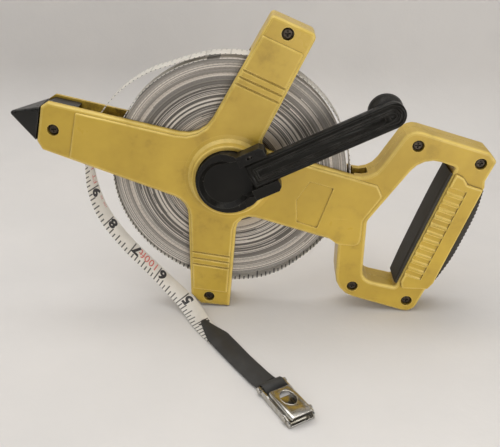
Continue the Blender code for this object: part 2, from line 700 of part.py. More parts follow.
def dish_outline(grow):
    """The dish seen from the front: round at its left end, with straight sides that run up to the ears."""
    radius = HUB_DISH_FLOOR_RADIUS + grow
    side = HUB_DISH_SIDE + 0.4 * grow
    leave = math.asin(side / radius)
    end = HINGE_REACH - EAR_HEEL
    points = [(end, -side), (end, side)]
    steps = 24
    for step in range(steps + 1):
        angle = leave + (2 * math.pi - 2 * leave) * step / steps
        points.append((HUB_DISH_MIDDLE + radius * math.cos(angle), radius * math.sin(angle)))
    return points


def make_crank_hub(reel):
    """Dished hub on its shaft, with the fork that the crank folds in."""
    face = -HALF
    holder = bpy.data.objects.new("crank_frame", None)
    parts.objects.link(holder)
    holder.parent = reel
    holder.rotation_euler = (0, -CRANK_ANGLE, 0)
    disc = bmesh.new()
    back = face - CUP_FLOOR + 2 * MM - RUNNING_GAP
    rim = face - HUB_RIM_STANDOFF
    end = TAPE_WIDTH / 2 - MM
    profile = [(0, end), (SHAFT_RADIUS, end), (SHAFT_RADIUS, back), (HUB_RADIUS, back)]
    profile += [(HUB_RADIUS, rim + MM), (HUB_RADIUS - MM, rim), (0, rim)]
    add_lathe(disc, profile, segments=48)
    hub = add_mesh("crank_hub", disc, parts, black)
    hub.parent = holder
    fork = bmesh.new()
    foot = face - FORK_FOOT_STANDOFF
    top = face - FORK_STANDOFF
    rings = [[(x, foot, z) for x, z in fork_outline()], [(x, top, z) for x, z in fork_outline()]]
    add_rings(fork, rings)
    apply_shape(hub, fork, "UNION", "fork")
    over = bmesh.new()
    ear_start = HINGE_REACH - EAR_HEEL
    outline = [(-30 * MM, rim), (ear_start - EAR_RISE, rim), (ear_start, top + MM), (ear_start, top - 9 * MM)]
    outline += [(-30 * MM, top - 9 * MM)]
    add_rings(over, [[(x, y, z) for x, y in outline] for z in (-30 * MM, 30 * MM)])
    apply_shape(hub, over, "DIFFERENCE", "front_of_dish")
    dish = bmesh.new()
    floor = face - HUB_FLOOR_STANDOFF
    flare = HUB_DISH_RADIUS - HUB_DISH_FLOOR_RADIUS
    outlines = ((floor, 0), (rim, flare), (rim - 9 * MM, flare))
    add_rings(dish, [[(x, y, z) for x, z in dish_outline(grow)] for y, grow in outlines])
    apply_shape(hub, dish, "DIFFERENCE", "dish")
    slot = bmesh.new()
    width = CRANK_WIDTH + 2 * RUNNING_GAP
    add_box(slot, (50 * MM, 20 * MM, width), (8 * MM + 25 * MM, floor - 10 * MM, 0))
    apply_shape(hub, slot, "DIFFERENCE", "fork_slot")
    window = bmesh.new()
    ear_middle = (FORK_WIDTH / 2 + width / 2) / 2
    add_box(window, (3.8 * MM, 6 * MM, 1.5 * MM), (HINGE_REACH, face - HINGE_STANDOFF - 3 * MM, ear_middle))
    apply_shape(hub, window, "DIFFERENCE", "pin_window")
    pin_hole = bmesh.new()
    matrix = Matrix.Translation((HINGE_REACH, face - HINGE_STANDOFF, 0))
    bmesh.ops.create_cone(pin_hole, cap_ends=True, segments=14, radius1=HINGE_PIN_RADIUS + GAP,
                          radius2=HINGE_PIN_RADIUS + GAP, depth=FORK_WIDTH - 3 * MM, matrix=matrix)
    apply_shape(hub, pin_hole, "DIFFERENCE", "pin_hole")
    screw_hole = bmesh.new()
    radius = REEL_SCREW_RADIUS + GAP
    deep = -HALF + 3 * MM
    add_lathe(screw_hole, [(0, deep), (radius, deep), (radius, HALF), (0, HALF)], segments=14)
    apply_shape(hub, screw_hole, "DIFFERENCE", "screw_hole")
    smooth(hub)
    pin = bmesh.new()
    bmesh.ops.create_cone(pin, cap_ends=True, segments=14, radius1=HINGE_PIN_RADIUS, radius2=HINGE_PIN_RADIUS,
                          depth=FORK_WIDTH - 3 * MM - 2 * GAP, matrix=matrix)
    hinge_pin = add_mesh("crank_hinge_pin", pin, parts, dark_steel)
    hinge_pin.parent = holder
    smooth(hinge_pin)
    return holder


def make_rear_cap(reel):
    """Cap that closes the shaft in the rear shell, and the screw that pulls it to the hub."""
    start = TAPE_WIDTH / 2 - MM + GAP
    under = HALF + CUP_FLOOR - 2 * MM + RUNNING_GAP
    outer = HALF + REAR_COLLAR_RAISE + 0.6 * MM
    radius = REAR_COLLAR_BORE - RUNNING_GAP
    hole = REEL_SCREW_RADIUS + GAP
    seat = outer - 2.2 * MM
    sink = REEL_SCREW_HEAD_RADIUS + GAP
    cap = bmesh.new()
    profile = [(hole, start), (SHAFT_RADIUS, start), (SHAFT_RADIUS, under), (radius, under)]
    profile += [(radius, outer - MM), (radius - MM, outer), (sink, outer), (sink, seat), (hole, seat)]
    add_tube(cap, profile, segments=48)
    cap_piece = add_mesh("rear_cap", cap, parts, black)
    cap_piece.parent = reel
    smooth(cap_piece)
    screw = bmesh.new()
    head = seat + GAP
    tip = -HALF + 3 * MM + GAP
    profile = [(0, tip), (REEL_SCREW_RADIUS / 2, tip), (REEL_SCREW_RADIUS, tip + MM)]
    profile += [(REEL_SCREW_RADIUS, head), (REEL_SCREW_HEAD_RADIUS, head)]
    profile += [(REEL_SCREW_HEAD_RADIUS, outer - 0.9 * MM)]
    profile += [(REEL_SCREW_HEAD_RADIUS - 0.5 * MM, outer - 0.4 * MM), (0, outer - 0.4 * MM)]
    add_lathe(screw, profile, segments=24)
    screw_piece = add_mesh("reel_screw", screw, parts, dark_steel)
    screw_piece.parent = reel
    cross = bmesh.new()
    add_cross(cross, 5.0 * MM, 1.2 * MM, outer - 0.4 * MM, 1.2 * MM)
    apply_shape(screw_piece, cross, "DIFFERENCE", "cross_recess")
    smooth(screw_piece)


def arm_outline(inset=0.0):
    """The crank arm from its square heel to its round tip, measured from the hinge."""
    half = CRANK_WIDTH / 2 - inset
    centre = CRANK_REACH - HINGE_REACH
    heel = -CRANK_HEEL + inset
    points = [(heel, half), (heel, -half)]
    for step in range(17):
        angle = -math.pi / 2 + math.pi * step / 16
        points.append((centre + half * math.cos(angle), half * math.sin(angle)))
    return points


def make_crank(holder):
    """Folding arm, the knob on its far side, and the knob's pin."""
    hinge = bpy.data.objects.new("crank_hinge", None)
    parts.objects.link(hinge)
    hinge.parent = holder
    hinge.location = (HINGE_REACH, -HALF - HINGE_STANDOFF, 0)
    half = CRANK_THICKNESS / 2
    round_over = 0.8 * MM
    arm = bmesh.new()
    levels = [(half, round_over), (half - round_over, 0), (-half + round_over, 0), (-half, round_over)]
    add_rings(arm, [[(x, depth, z) for x, z in arm_outline(inset)] for depth, inset in levels])
    piece = add_mesh("crank_arm", arm, parts, black)
    piece.parent = hinge
    reach = CRANK_REACH - HINGE_REACH
    groove = bmesh.new()
    levels = [(-half - MM, CRANK_BORDER), (-half + CRANK_GROOVE_DEPTH, CRANK_BORDER + 0.3 * MM)]
    levels += [(depth, CRANK_BORDER + CRANK_GROOVE_WIDTH) for depth, _ in reversed(levels)]
    add_ring(groove, [[(x, depth, z) for x, z in arm_outline(inset)] for depth, inset in levels])
    apply_shape(piece, groove, "DIFFERENCE", "border_groove")
    dimple = bmesh.new()
    foot = CRANK_DIMPLE_RADIUS - 0.6 * MM
    floor = -half + 0.5 * MM
    profile = [(0, -half - MM), (CRANK_DIMPLE_RADIUS, -half - MM), (foot, floor), (0, floor)]
    add_lathe(dimple, profile, (reach, 0), segments=20)
    apply_shape(piece, dimple, "DIFFERENCE", "dimple")
    holes = bmesh.new()
    bmesh.ops.create_cone(holes, cap_ends=True, segments=14, radius1=HINGE_PIN_RADIUS + GAP,
                          radius2=HINGE_PIN_RADIUS + GAP, depth=CRANK_WIDTH + 4 * MM)
    pin_radius = KNOB_PIN_RADIUS + GAP
    inside = -half + 2 * MM
    profile = [(0, inside), (pin_radius, inside), (pin_radius, half + MM), (0, half + MM)]
    knob_reach = KNOB_REACH - HINGE_REACH
    add_lathe(holes, profile, (knob_reach, 0), segments=14)
    apply_shape(piece, holes, "DIFFERENCE", "holes")
    smooth(piece)

    knob_axis = bpy.data.objects.new("knob_axis", None)
    parts.objects.link(knob_axis)
    knob_axis.parent = hinge
    knob_axis.location = (knob_reach, 0, 0)
    near = half + RUNNING_GAP
    far = HINGE_STANDOFF - PANEL_RAISE - KNOB_CLEARANCE
    bore = KNOB_PIN_RADIUS + RUNNING_GAP
    sink = KNOB_PIN_HEAD_RADIUS + RUNNING_GAP
    seat = far - KNOB_PIN_HEAD - RUNNING_GAP
    knob = bmesh.new()
    edge = 1.2 * MM
    profile = [(bore, near), (KNOB_NECK_RADIUS - edge, near), (KNOB_NECK_RADIUS, near + edge)]
    profile += [(KNOB_RADIUS - 0.3 * edge, far - 3 * edge), (KNOB_RADIUS, far - edge)]
    profile += [(KNOB_RADIUS - edge, far), (sink, far), (sink, seat), (bore, seat)]
    add_tube(knob, profile, segments=40)
    knob_piece = add_mesh("crank_knob", knob, parts, black)
    knob_piece.parent = knob_axis
    smooth(knob_piece)
    pin = bmesh.new()
    tip = inside + GAP
    head = seat + RUNNING_GAP
    profile = [(0, tip), (KNOB_PIN_RADIUS, tip), (KNOB_PIN_RADIUS, head), (KNOB_PIN_HEAD_RADIUS, head)]
    profile += [(KNOB_PIN_HEAD_RADIUS, far - 0.3 * MM), (0, far - 0.3 * MM)]
    add_lathe(pin, profile, segments=24)
    pin_piece = add_mesh("knob_pin", pin, parts, dark_steel)
    pin_piece.parent = knob_axis
    smooth(pin_piece)


def smooth_route(points, steps):
    """A curve through the given points, each a tuple of numbers."""
    route = []
    count = len(points)
    for index in range(count - 1):
        before = Vector(points[max(index - 1, 0)])
        start = Vector(points[index])
        end = Vector(points[index + 1])
        after = Vector(points[min(index + 2, count - 1)])
        for step in range(steps):
            share = step / steps
            bend = 2 * before - 5 * start + 4 * end - after
            twist = 3 * start - before - 3 * end + after
            route.append(0.5 * (2 * start + (end - before) * share + bend * share ** 2 + twist * share ** 3))
    route.append(Vector(points[-1]))
    return route


def make_free_tape():
    """The blade from the top of the roll, through the left arm and down to the strap."""
    points = [Vector(place[:3]) * MM for place in FREE_TAPE_ROUTE]
    turns = [math.radians(place[3]) for place in FREE_TAPE_ROUTE]
    route = smooth_route([(*point, turn) for point, turn in zip(points, turns)], 4)
    body = bmesh.new()
    rings = []
    last = len(route) - 1
    for index, place in enumerate(route):
        middle = Vector(place[:3])
        direction = Vector(route[min(index + 1, last)][:3]) - Vector(route[max(index - 1, 0)][:3])
        direction.normalize()
        across = Vector((0, 1, 0))
        across = (across - direction * across.dot(direction)).normalized()
        across = Matrix.Rotation(place[3], 3, direction) @ across
        normal = direction.cross(across)
        section = [(-1, -1), (1, -1), (1, 1), (-1, 1)]
        ring = []
        for a, b in section:
            ring.append(middle + across * a * TAPE_WIDTH / 2 + normal * b * TAPE_THICKNESS / 2)
        rings.append(ring)
    add_rings(body, rings)
    add_mesh("free_tape", body, parts, tape_white)


def make_strap():
    """Leader strap with a pointed end that lies on the blade and ends at the hook's rear pin."""
    places = [Vector(place) * MM for place in STRAP_ROUTE]
    route = smooth_route([tuple(place) for place in places], 4)
    body = bmesh.new()
    rings = []
    last = len(route) - 1
    run = 0.0
    for index, place in enumerate(route):
        if index:
            run += (place - route[index - 1]).length
        direction = (route[min(index + 1, last)] - route[max(index - 1, 0)]).normalized()
        across = direction.cross(Vector((0, 0, 1))).normalized()
        width = strap_width(run)
        rise = Vector((0, 0, STRAP_THICKNESS / 2))
        half = across * width / 2
        rings.append([place - half - rise, place + half - rise, place + half + rise, place - half + rise])
    add_rings(body, rings)
    add_mesh("tape_strap", body, parts, strap_black)


def strap_width(run):
    """Width of the strap at a distance from its tip: a point, a shoulder, then a slow taper."""
    if run < STRAP_POINT:
        return max(1.6 * MM, STRAP_WIDTH * run / STRAP_POINT)
    share = min(1.0, (run - STRAP_POINT) / STRAP_TAPER)
    return STRAP_WIDTH + (STRAP_END_WIDTH - STRAP_WIDTH) * share


def lying_cylinder(mesh_builder, radius, length, x, z, middle=0.0):
    """A cylinder across the hook."""
    matrix = Matrix.Translation((x, middle, z)) @ Matrix.Rotation(math.pi / 2, 4, "X")
    bmesh.ops.create_cone(mesh_builder, cap_ends=True, segments=18, radius1=radius, radius2=radius,
                          depth=length, matrix=matrix)


def make_hook_pin(name, parent, x, z):
    """Pin across the hook with a flat head on each end."""
    shank = bmesh.new()
    reach = HOOK_WIDTH + 2 * GAP
    lying_cylinder(shank, HOOK_PIN_RADIUS, reach, x, z)
    pin = add_mesh(name, shank, parts, plated)
    pin.parent = parent
    for side in (-1, 1):
        head = bmesh.new()
        lying_cylinder(head, HOOK_PIN_HEAD_RADIUS, HOOK_PIN_HEAD, x, z, side * (reach + HOOK_PIN_HEAD) / 2)
        apply_shape(pin, head, "UNION", f"head_{'left' if side < 0 else 'right'}")
    smooth(pin)


def make_hook():
    """End hook of folded plate: a channel on the strap's pin and a cover that tips up on the front pin."""
    base = bpy.data.objects.new("hook_frame", None)
    parts.objects.link(base)
    base.location = (HOOK_PLACE[0] * MM, HOOK_PLACE[1] * MM, HOOK_PIN_HEIGHT - HUB_HEIGHT)
    base.rotation_euler = (0, 0, HOOK_ANGLE)
    low = HOOK_LIFT - HOOK_PIN_HEIGHT
    half = HOOK_WIDTH / 2
    floor = bmesh.new()
    length = HOOK_FRONT - HOOK_FLOOR_START
    middle = (HOOK_FRONT + HOOK_FLOOR_START) / 2
    add_box(floor, (length, HOOK_WIDTH, HOOK_SHEET), (middle, 0, low + HOOK_SHEET / 2))
    hook = add_mesh("hook_body", floor, parts, plated)
    hook.parent = base
    for side in (-1, 1):
        cheek = bmesh.new()
        near = side * (half - HOOK_SHEET)
        far = side * (half + 0.01 * MM)
        rings = [[(x * MM, y, z * MM - HOOK_PIN_HEIGHT) for x, z in HOOK_CHEEK] for y in (near, far)]
        add_rings(cheek, rings)
        apply_shape(hook, cheek, "UNION", f"cheek_{'left' if side < 0 else 'right'}")
    bores = bmesh.new()
    for x in (0.0, HOOK_PIN_SPACING):
        lying_cylinder(bores, HOOK_PIN_RADIUS + GAP, HOOK_WIDTH + 4 * MM, x, 0)
    apply_shape(hook, bores, "DIFFERENCE", "pin_bores")
    boss = bmesh.new()
    base_level = low + HOOK_SHEET - 0.1 * MM
    rings = []
    for radius, rise in HOOK_BOSS:
        ring = []
        for step in range(20):
            angle = 2 * math.pi * step / 20
            x = HOOK_BOSS_PLACE + HOOK_BOSS_STRETCH * radius * MM * math.cos(angle)
            ring.append((x, radius * MM * math.sin(angle), base_level + rise * MM))
        rings.append(ring)
    add_rings(boss, rings)
    apply_shape(hook, boss, "UNION", "boss")
    smooth(hook)
    make_hook_pin("hook_strap_pin", base, 0, 0)

    hinge = bpy.data.objects.new("claw_hinge", None)
    parts.objects.link(hinge)
    hinge.parent = base
    hinge.location = (HOOK_PIN_SPACING, 0, 0)
    make_hook_pin("hook_claw_pin", hinge, 0, 0)
    top = CLAW_TOP - HOOK_PIN_HEIGHT
    start = CLAW_REAR - HOOK_PIN_SPACING
    end = CLAW_FRONT - HOOK_PIN_SPACING
    plate = bmesh.new()
    add_box(plate, (end - start, CLAW_WIDTH, HOOK_SHEET), ((start + end) / 2, 0, top - HOOK_SHEET / 2))
    claw = add_mesh("hook_claw", plate, parts, plated)
    claw.parent = hinge
    for side in (-1, 1):
        flange = bmesh.new()
        inside = side * (CLAW_WIDTH / 2 - HOOK_SHEET)
        outside = side * CLAW_WIDTH / 2
        foot = top - CLAW_FLANGE
        outline = [(start, top - HOOK_SHEET / 2), (start, foot + 2 * MM), (start + 2 * MM, foot + MM)]
        outline += [(-CLAW_KNUCKLE - MM, foot + MM)]
        for step in range(9):
            angle = math.pi + math.pi * step / 8
            outline.append((CLAW_KNUCKLE * math.cos(angle), CLAW_KNUCKLE * math.sin(angle)))
        outline += [(end, top - 1.6 * MM), (end, top - HOOK_SHEET / 2)]
        add_rings(flange, [[(x, y, z) for x, z in outline] for y in (inside, outside)])
        apply_shape(claw, flange, "UNION", f"flange_{'left' if side < 0 else 'right'}")
    eye = bmesh.new()
    place = (start + CLAW_EYE_INSET, 0, top)
    matrix = Matrix.Translation(place) @ Matrix.Diagonal((CLAW_EYE_STRETCH, 1.0, 1.0, 1.0))
    bmesh.ops.create_cone(eye, cap_ends=True, segments=28, radius1=CLAW_EYE_RADIUS, radius2=CLAW_EYE_RADIUS,
                          depth=4 * MM, matrix=matrix)
    apply_shape(claw, eye, "DIFFERENCE", "eye")
    bore = bmesh.new()
    lying_cylinder(bore, HOOK_PIN_RADIUS + GAP, CLAW_WIDTH + 4 * MM, 0, 0)
    apply_shape(claw, bore, "DIFFERENCE", "pin_bore")
    smooth(claw)


for thing in list(bpy.data.objects):
    bpy.data.objects.remove(thing, do_unlink=True)

parts = bpy.data.collections.new("open_reel_tape_measure")
cutters = bpy.data.collections.new("cutters")
for collection in (parts, cutters):
    bpy.context.scene.collection.children.link(collection)

yellow = make_material("yellow_plastic", (0.69, 0.50, 0.09), 0.42)
black = make_material("black_plastic", (0.025, 0.024, 0.022), 0.38)
rubber = make_material("black_rubber", (0.035, 0.034, 0.032), 0.75)
dark_steel = make_material("dark_steel", (0.16, 0.15, 0.14), 0.4, 0.9)
plated = make_material("nickel_plate", (0.72, 0.71, 0.69), 0.22, 1.0)
tape_white = make_material("white_tape", (0.78, 0.76, 0.72), 0.5)
core_brown = make_material("drum_plastic", (0.16, 0.10, 0.06), 0.5)
strap_black = make_material("strap_vinyl", (0.03, 0.03, 0.03), 0.55)

make_shell("front_shell", FRONT)
make_shell("rear_shell", REAR)
make_spike()
make_screws()
make_finger_grip()
make_palm_grip()
reel_axis = make_reel()
crank_frame = make_crank_hub(reel_axis)
make_rear_cap(reel_axis)
make_crank(crank_frame)
make_free_tape()
make_strap()
make_hook()

# The origin lies on the floor below the middle of the frame with its crank
whole = bpy.data.objects.new("tape_measure", None)
parts.objects.link(whole)
whole.location = (-MIDDLE_X, -MIDDLE_Y, HUB_HEIGHT)
for collection in (parts, cutters):
    for thing in collection.objects:
        if thing.parent is None and thing != whole:
            thing.parent = whole
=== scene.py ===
import math

import bmesh
import bpy
from mathutils import Matrix, Vector


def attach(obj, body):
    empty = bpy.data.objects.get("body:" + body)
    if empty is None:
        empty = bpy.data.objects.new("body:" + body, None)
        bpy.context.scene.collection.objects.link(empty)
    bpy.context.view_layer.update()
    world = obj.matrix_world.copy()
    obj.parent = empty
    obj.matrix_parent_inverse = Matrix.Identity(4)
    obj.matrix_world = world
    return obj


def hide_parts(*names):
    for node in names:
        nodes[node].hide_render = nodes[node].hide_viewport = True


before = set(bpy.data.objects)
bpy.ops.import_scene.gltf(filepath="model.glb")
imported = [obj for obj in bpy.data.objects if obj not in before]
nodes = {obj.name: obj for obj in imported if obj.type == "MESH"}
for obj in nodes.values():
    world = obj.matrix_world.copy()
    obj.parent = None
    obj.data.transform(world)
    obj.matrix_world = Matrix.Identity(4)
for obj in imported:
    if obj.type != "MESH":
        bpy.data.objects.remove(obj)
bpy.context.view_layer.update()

axleMiddle = (-13.5, 7.55, 101.65)  # middle of the reel's axle in the row, in mm


# Places are given round the axle in mm: x to the handle, y away from the crank, z up
def rowPlace(*place):
    return Vector([(value + middle) / 1000 for value, middle in zip(place, axleMiddle)])


def linkObject(name, data):
    made = bpy.data.objects.new(name, data)
    bpy.context.scene.collection.objects.link(made)
    return made


# Camera
cameraSettings = {
    "location": (0.01357, -0.39851, 0.26997), "downDegrees": 26.063, "turnDegrees": 2.633,
    "lens": 47.43, "sensorWidth": 36, "shift": (0.0142, -0.0238), "clipStart": 0.01,
}


def makeCamera(look):
    data = bpy.data.cameras.new("camera")
    data.lens = look["lens"]
    data.sensor_width = look["sensorWidth"]
    data.shift_x, data.shift_y = look["shift"]
    data.clip_start = look["clipStart"]
    data.dof.use_dof = False
    camera = linkObject("camera", data)
    camera.location = look["location"]
    camera.rotation_euler = (math.radians(90 - look["downDegrees"]), 0, math.radians(look["turnDegrees"]))
    return camera


bpy.context.scene.camera = makeCamera(cameraSettings)
print("camera set")


# A node's output. Arithmetic on it adds maths nodes to its tree.
class Wire:
    def __init__(self, tree, socket):
        self.tree = tree
        self.socket = socket

    def maths(self, operation, other=0.0):
        return wire(self.tree, "ShaderNodeMath", 0, (self, other), operation=operation)

    def __add__(self, other):
        return self.maths("ADD", other)

    def __sub__(self, other):
        return self.maths("SUBTRACT", other)

    def __rsub__(self, other):
        return wire(self.tree, "ShaderNodeMath", 0, (other, self), operation="SUBTRACT")

    def __mul__(self, other):
        return self.maths("MULTIPLY", other)

    def clamped(self):
        self.socket.node.use_clamp = True
        return self

    # Runs from start to end while this value goes from low to high
    def spread(self, low, high, start=0.0, end=1.0, kind="SMOOTHSTEP"):
        given = (self, low, high, start, end)
        return wire(self.tree, "ShaderNodeMapRange", 0, given, interpolation_type=kind)

    # As a mask: the first colour at 0 and the second at 1
    def mix(self, first, second):
        return wire(self.tree, "ShaderNodeMix", 2, {0: self, 6: first, 7: second}, data_type="RGBA")


def feed(socket, source):
    if isinstance(source, Wire):
        source.tree.links.new(source.socket, socket)
    elif socket.type == "RGBA":
        socket.default_value = (*source, 1)
    else:
        socket.default_value = source


def addNode(tree, kind, inputs=(), **settings):
    made = tree.nodes.new(kind)
    for key, value in settings.items():
        setattr(made, key, value)
    for label, source in inputs.items() if isinstance(inputs, dict) else enumerate(inputs):
        feed(made.inputs[label], source)
    return made


# One output of a new node
def wire(tree, kind, output=0, inputs=(), **settings):
    return Wire(tree, addNode(tree, kind, inputs, **settings).outputs[output])


# All outputs of a new node, by name
def wires(tree, kind, inputs=(), **settings):
    return {socket.name: Wire(tree, socket) for socket in addNode(tree, kind, inputs, **settings).outputs}


def noiseValue(tree, scale, detail=4.0, roughness=0.55, vector=None):
    if vector is None:
        vector = wire(tree, "ShaderNodeTexCoord", "Object")
    given = {"Scale": scale, "Detail": detail, "Roughness": roughness, "Vector": vector}
    return wire(tree, "ShaderNodeTexNoise", "Fac", given)


def stretched(tree, factors, turn):
    place = wire(tree, "ShaderNodeTexCoord", "Object")
    given = {"Vector": place, "Scale": factors, "Rotation": [math.radians(angle) for angle in turn]}
    return wire(tree, "ShaderNodeMapping", 0, given)


def occlusion(tree, distance, samples, **settings):
    return wire(tree, "ShaderNodeAmbientOcclusion", "AO", {"Distance": distance}, samples=samples, **settings)


def normalPart(tree, kind, axis):
    return wires(tree, "ShaderNodeSeparateXYZ", (wire(tree, "ShaderNodeNewGeometry", kind),))[axis]


def newGroup(name, inputs, outputs):
    tree = bpy.data.node_groups.new(name, "ShaderNodeTree")
    for label, value in inputs.items():
        socket = tree.interface.new_socket(name=label, in_out="INPUT", socket_type="NodeSocketFloat")
        socket.default_value = value
    for label in outputs:
        tree.interface.new_socket(name=label, in_out="OUTPUT", socket_type="NodeSocketFloat")
    return tree, wires(tree, "NodeGroupInput"), addNode(tree, "NodeGroupOutput").inputs


def useGroup(tree, group, **values):
    return wires(tree, "ShaderNodeGroup", values, node_tree=group)


# In a look, two numbers are the ends of a value, and four add what its mask runs between.
# Wear and painted highlight on outward edges: the rounded normal leaves the face's own there, and hollows are
# kept out.
wearAndHighlightLook = {"reach": 2.5, "open": (0.72, 0.95), "patches": (0.38, 0.62, 0.25, 1.0)}


def makeEdgeWear(look):
    inputs = {"Radius": 0.0006, "Gain": 6.0, "Patch": 90.0}
    tree, given, out = newGroup("edgeWear", inputs, ("Mask", "Hollow"))
    rounded = wire(tree, "ShaderNodeBevel", 0, {"Radius": given["Radius"]}, samples=4)
    normals = (rounded, wire(tree, "ShaderNodeNewGeometry", "Normal"))
    likeness = wire(tree, "ShaderNodeVectorMath", "Value", normals, operation="DOT_PRODUCT")
    bent = ((1.0 - likeness) * given["Gain"]).clamped()
    light = occlusion(tree, given["Radius"] * look["reach"], samples=4, only_local=True)
    patches = noiseValue(tree, given["Patch"]).spread(*look["patches"])
    feed(out["Mask"], bent * light.spread(*look["open"]) * patches)
    # Hollow is the shut-in share, which paints shade in creases
    feed(out["Hollow"], (1.0 - light).clamped())
    return tree


# Dust with a painted sheen on upward faces, and grime with painted shade in corners
dustAndPaintedLightLook = {
    "upward": (0.2, 0.95), "blotches": (0.42, 0.7), "corner": (0.8, 0.36), "finer": 3.0,
    "patches": (0.3, 0.65, 0.3, 1.0),
}


def makeDust(look):
    tree, given, out = newGroup("dust", {"Reach": 0.004, "Scale": 160.0}, ("Film", "Grime"))
    upward = normalPart(tree, "Normal", "Z").spread(*look["upward"])
    blotches = noiseValue(tree, given["Scale"], detail=5.0, roughness=0.65).spread(*look["blotches"])
    feed(out["Film"], upward * blotches)
    # Darker where the corner shuts light out: dirt and painted shade
    corner = occlusion(tree, given["Reach"], samples=6).spread(*look["corner"])
    patches = noiseValue(tree, given["Scale"] * look["finer"])
    feed(out["Grime"], corner * patches.spread(*look["patches"]))
    return tree


# Fine tooth of moulded plastic, with a few long scuffs: stretching, turn in degrees and ends
grainLook = {
    "scuffs": (((1, 1, 0.06), (0, 35, 0), (0.7, 0.76)), ((0.05, 1, 1), (0, 20, 0), (0.71, 0.77))),
    "placeScale": 38.0, "places": (0.5, 0.62), "toneScale": 24.0,
}


def makeGrain(look):
    tree, given, out = newGroup("grain", {"Scale": 1800.0, "Scuff": 420.0}, ("Height", "Scuffs", "Tone"))
    feed(out["Height"], noiseValue(tree, given["Scale"], detail=2.0, roughness=0.6))
    first, second = [
        noiseValue(tree, given["Scuff"], 2.0, 0.5, stretched(tree, factors, turn)).spread(*ends)
        for factors, turn, ends in look["scuffs"]]
    places = noiseValue(tree, look["placeScale"], detail=2.0).spread(*look["places"])
    feed(out["Scuffs"], first.maths("MAXIMUM", second) * places)
    feed(out["Tone"], noiseValue(tree, look["toneScale"], roughness=0.6))
    return tree


# Moulded rounds lighter as a painted highlight and as rubbing: faces that lean between flat front and side
# wall; and painted shade with dirt deep between the halves
roundSheenAndDeepShadeLook = {
    "lean": (0.08, 0.35), "flat": (0.995, 0.93), "patchScale": 70.0, "patches": (0.3, 0.6, 0.45, 1.0),
    "deep": (0.52, 0.3), "clumps": (0.4, 0.6),
}


def makeRubbed(look):
    tree, given, out = newGroup("rubbed", {"Depth": 0.02, "Scale": 260.0}, ("Slope", "Deep"))
    lean = normalPart(tree, "True Normal", "Y").maths("ABSOLUTE")
    slope = lean.spread(*look["lean"]) * lean.spread(*look["flat"])
    patches = noiseValue(tree, look["patchScale"]).spread(*look["patches"])
    feed(out["Slope"], slope * patches)
    deep = occlusion(tree, given["Depth"], samples=4).spread(*look["deep"])
    clumps = noiseValue(tree, given["Scale"], detail=5.0, roughness=0.7).spread(*look["clumps"])
    feed(out["Deep"], deep * clumps)
    return tree


edgeWear = makeEdgeWear(wearAndHighlightLook)
dust = makeDust(dustAndPaintedLightLook)
grain = makeGrain(grainLook)
rubbed = makeRubbed(roundSheenAndDeepShadeLook)


def newMaterial(name):
    material = bpy.data.materials.new(name)
    material.use_nodes = True
    tree = material.node_tree
    return material, tree, tree.nodes["Principled BSDF"]


# Each layer has a mask and the names of its share and its colour in the look
def layered(colour, look, layers):
    for mask, share, tint in layers:
        colour = (mask * look[share + "Mix"]).mix(colour, look[tint + "Colour"])
    return colour


# Feeds the shader by input name, and its bump with a height over softly rounded edges
def feedShader(shader, values, height, look):
    for label, value in values.items():
        feed(shader.inputs[label], value)
    strength, distance = look["bump"]
    given = {"Strength": strength, "Distance": distance, "Height": height}
    if "roundRadius" in look:
        given["Normal"] = wire(height.tree, "ShaderNodeBevel", 0, {"Radius": look["roundRadius"]}, samples=6)
    feed(shader.inputs["Normal"], wire(height.tree, "ShaderNodeBump", 0, given))


def plasticMaterial(name, look):
    material, tree, shader = newMaterial(name)
    wearAndHighlight = useGroup(tree, edgeWear, Radius=look["edgeRadius"], Gain=look["edgeGain"])
    soilAndPaintedLight = useGroup(tree, dust, Reach=look["dirtShadeReach"])
    tooth = useGroup(tree, grain, Scale=look["grainScale"])
    layers = [
        # The edge mask lightens edges as wear and as a painted highlight
        (wearAndHighlight["Mask"], "edge", "edge"), (tooth["Scuffs"], "scuff", "edge"), (soilAndPaintedLight["Film"], "filmSheen", "filmSheen")]
    # The film layer is dust and a painted sheen on upward faces
    if "slopeMix" in look:
        # Slope paints a highlight on the rounds, and Deep paints shade broken into dirt clumps in deep
        # hollows
        edges = useGroup(tree, rubbed)
        # Creases darkened with the deep colour: painted shade
        crease = wearAndHighlight["Hollow"].spread(*look["creaseEnds"])
        smear = noiseValue(tree, *look["smearNoise"]).spread(*look["smearEnds"])
        layers += [(edges["Slope"], "slope", "edge"), (edges["Deep"], "deep", "deep"),
                   (crease, "crease", "deep"), (smear, "smear", "grimeShade")]
    # Grime darkens corners: dirt and painted shade there
    layers.append((soilAndPaintedLight["Grime"], "grimeShade", "grimeShade"))
    colour = tooth["Tone"].spread(*look["toneEnds"]).mix(look["colour"], look["otherTone"])
    colour = layered(colour, look, layers)
    rough = tooth["Tone"].spread(*look["roughEnds"], *look["roughness"])
    rough = rough + tooth["Scuffs"] * look["scuffRough"] + soilAndPaintedLight["Film"] * look["filmRough"]
    values = {"Base Color": colour, "Roughness": rough.clamped(), "Specular IOR Level": look["specular"]}
    feedShader(shader, values, tooth["Height"] - tooth["Scuffs"] * look["scuffDepth"], look)
    return material


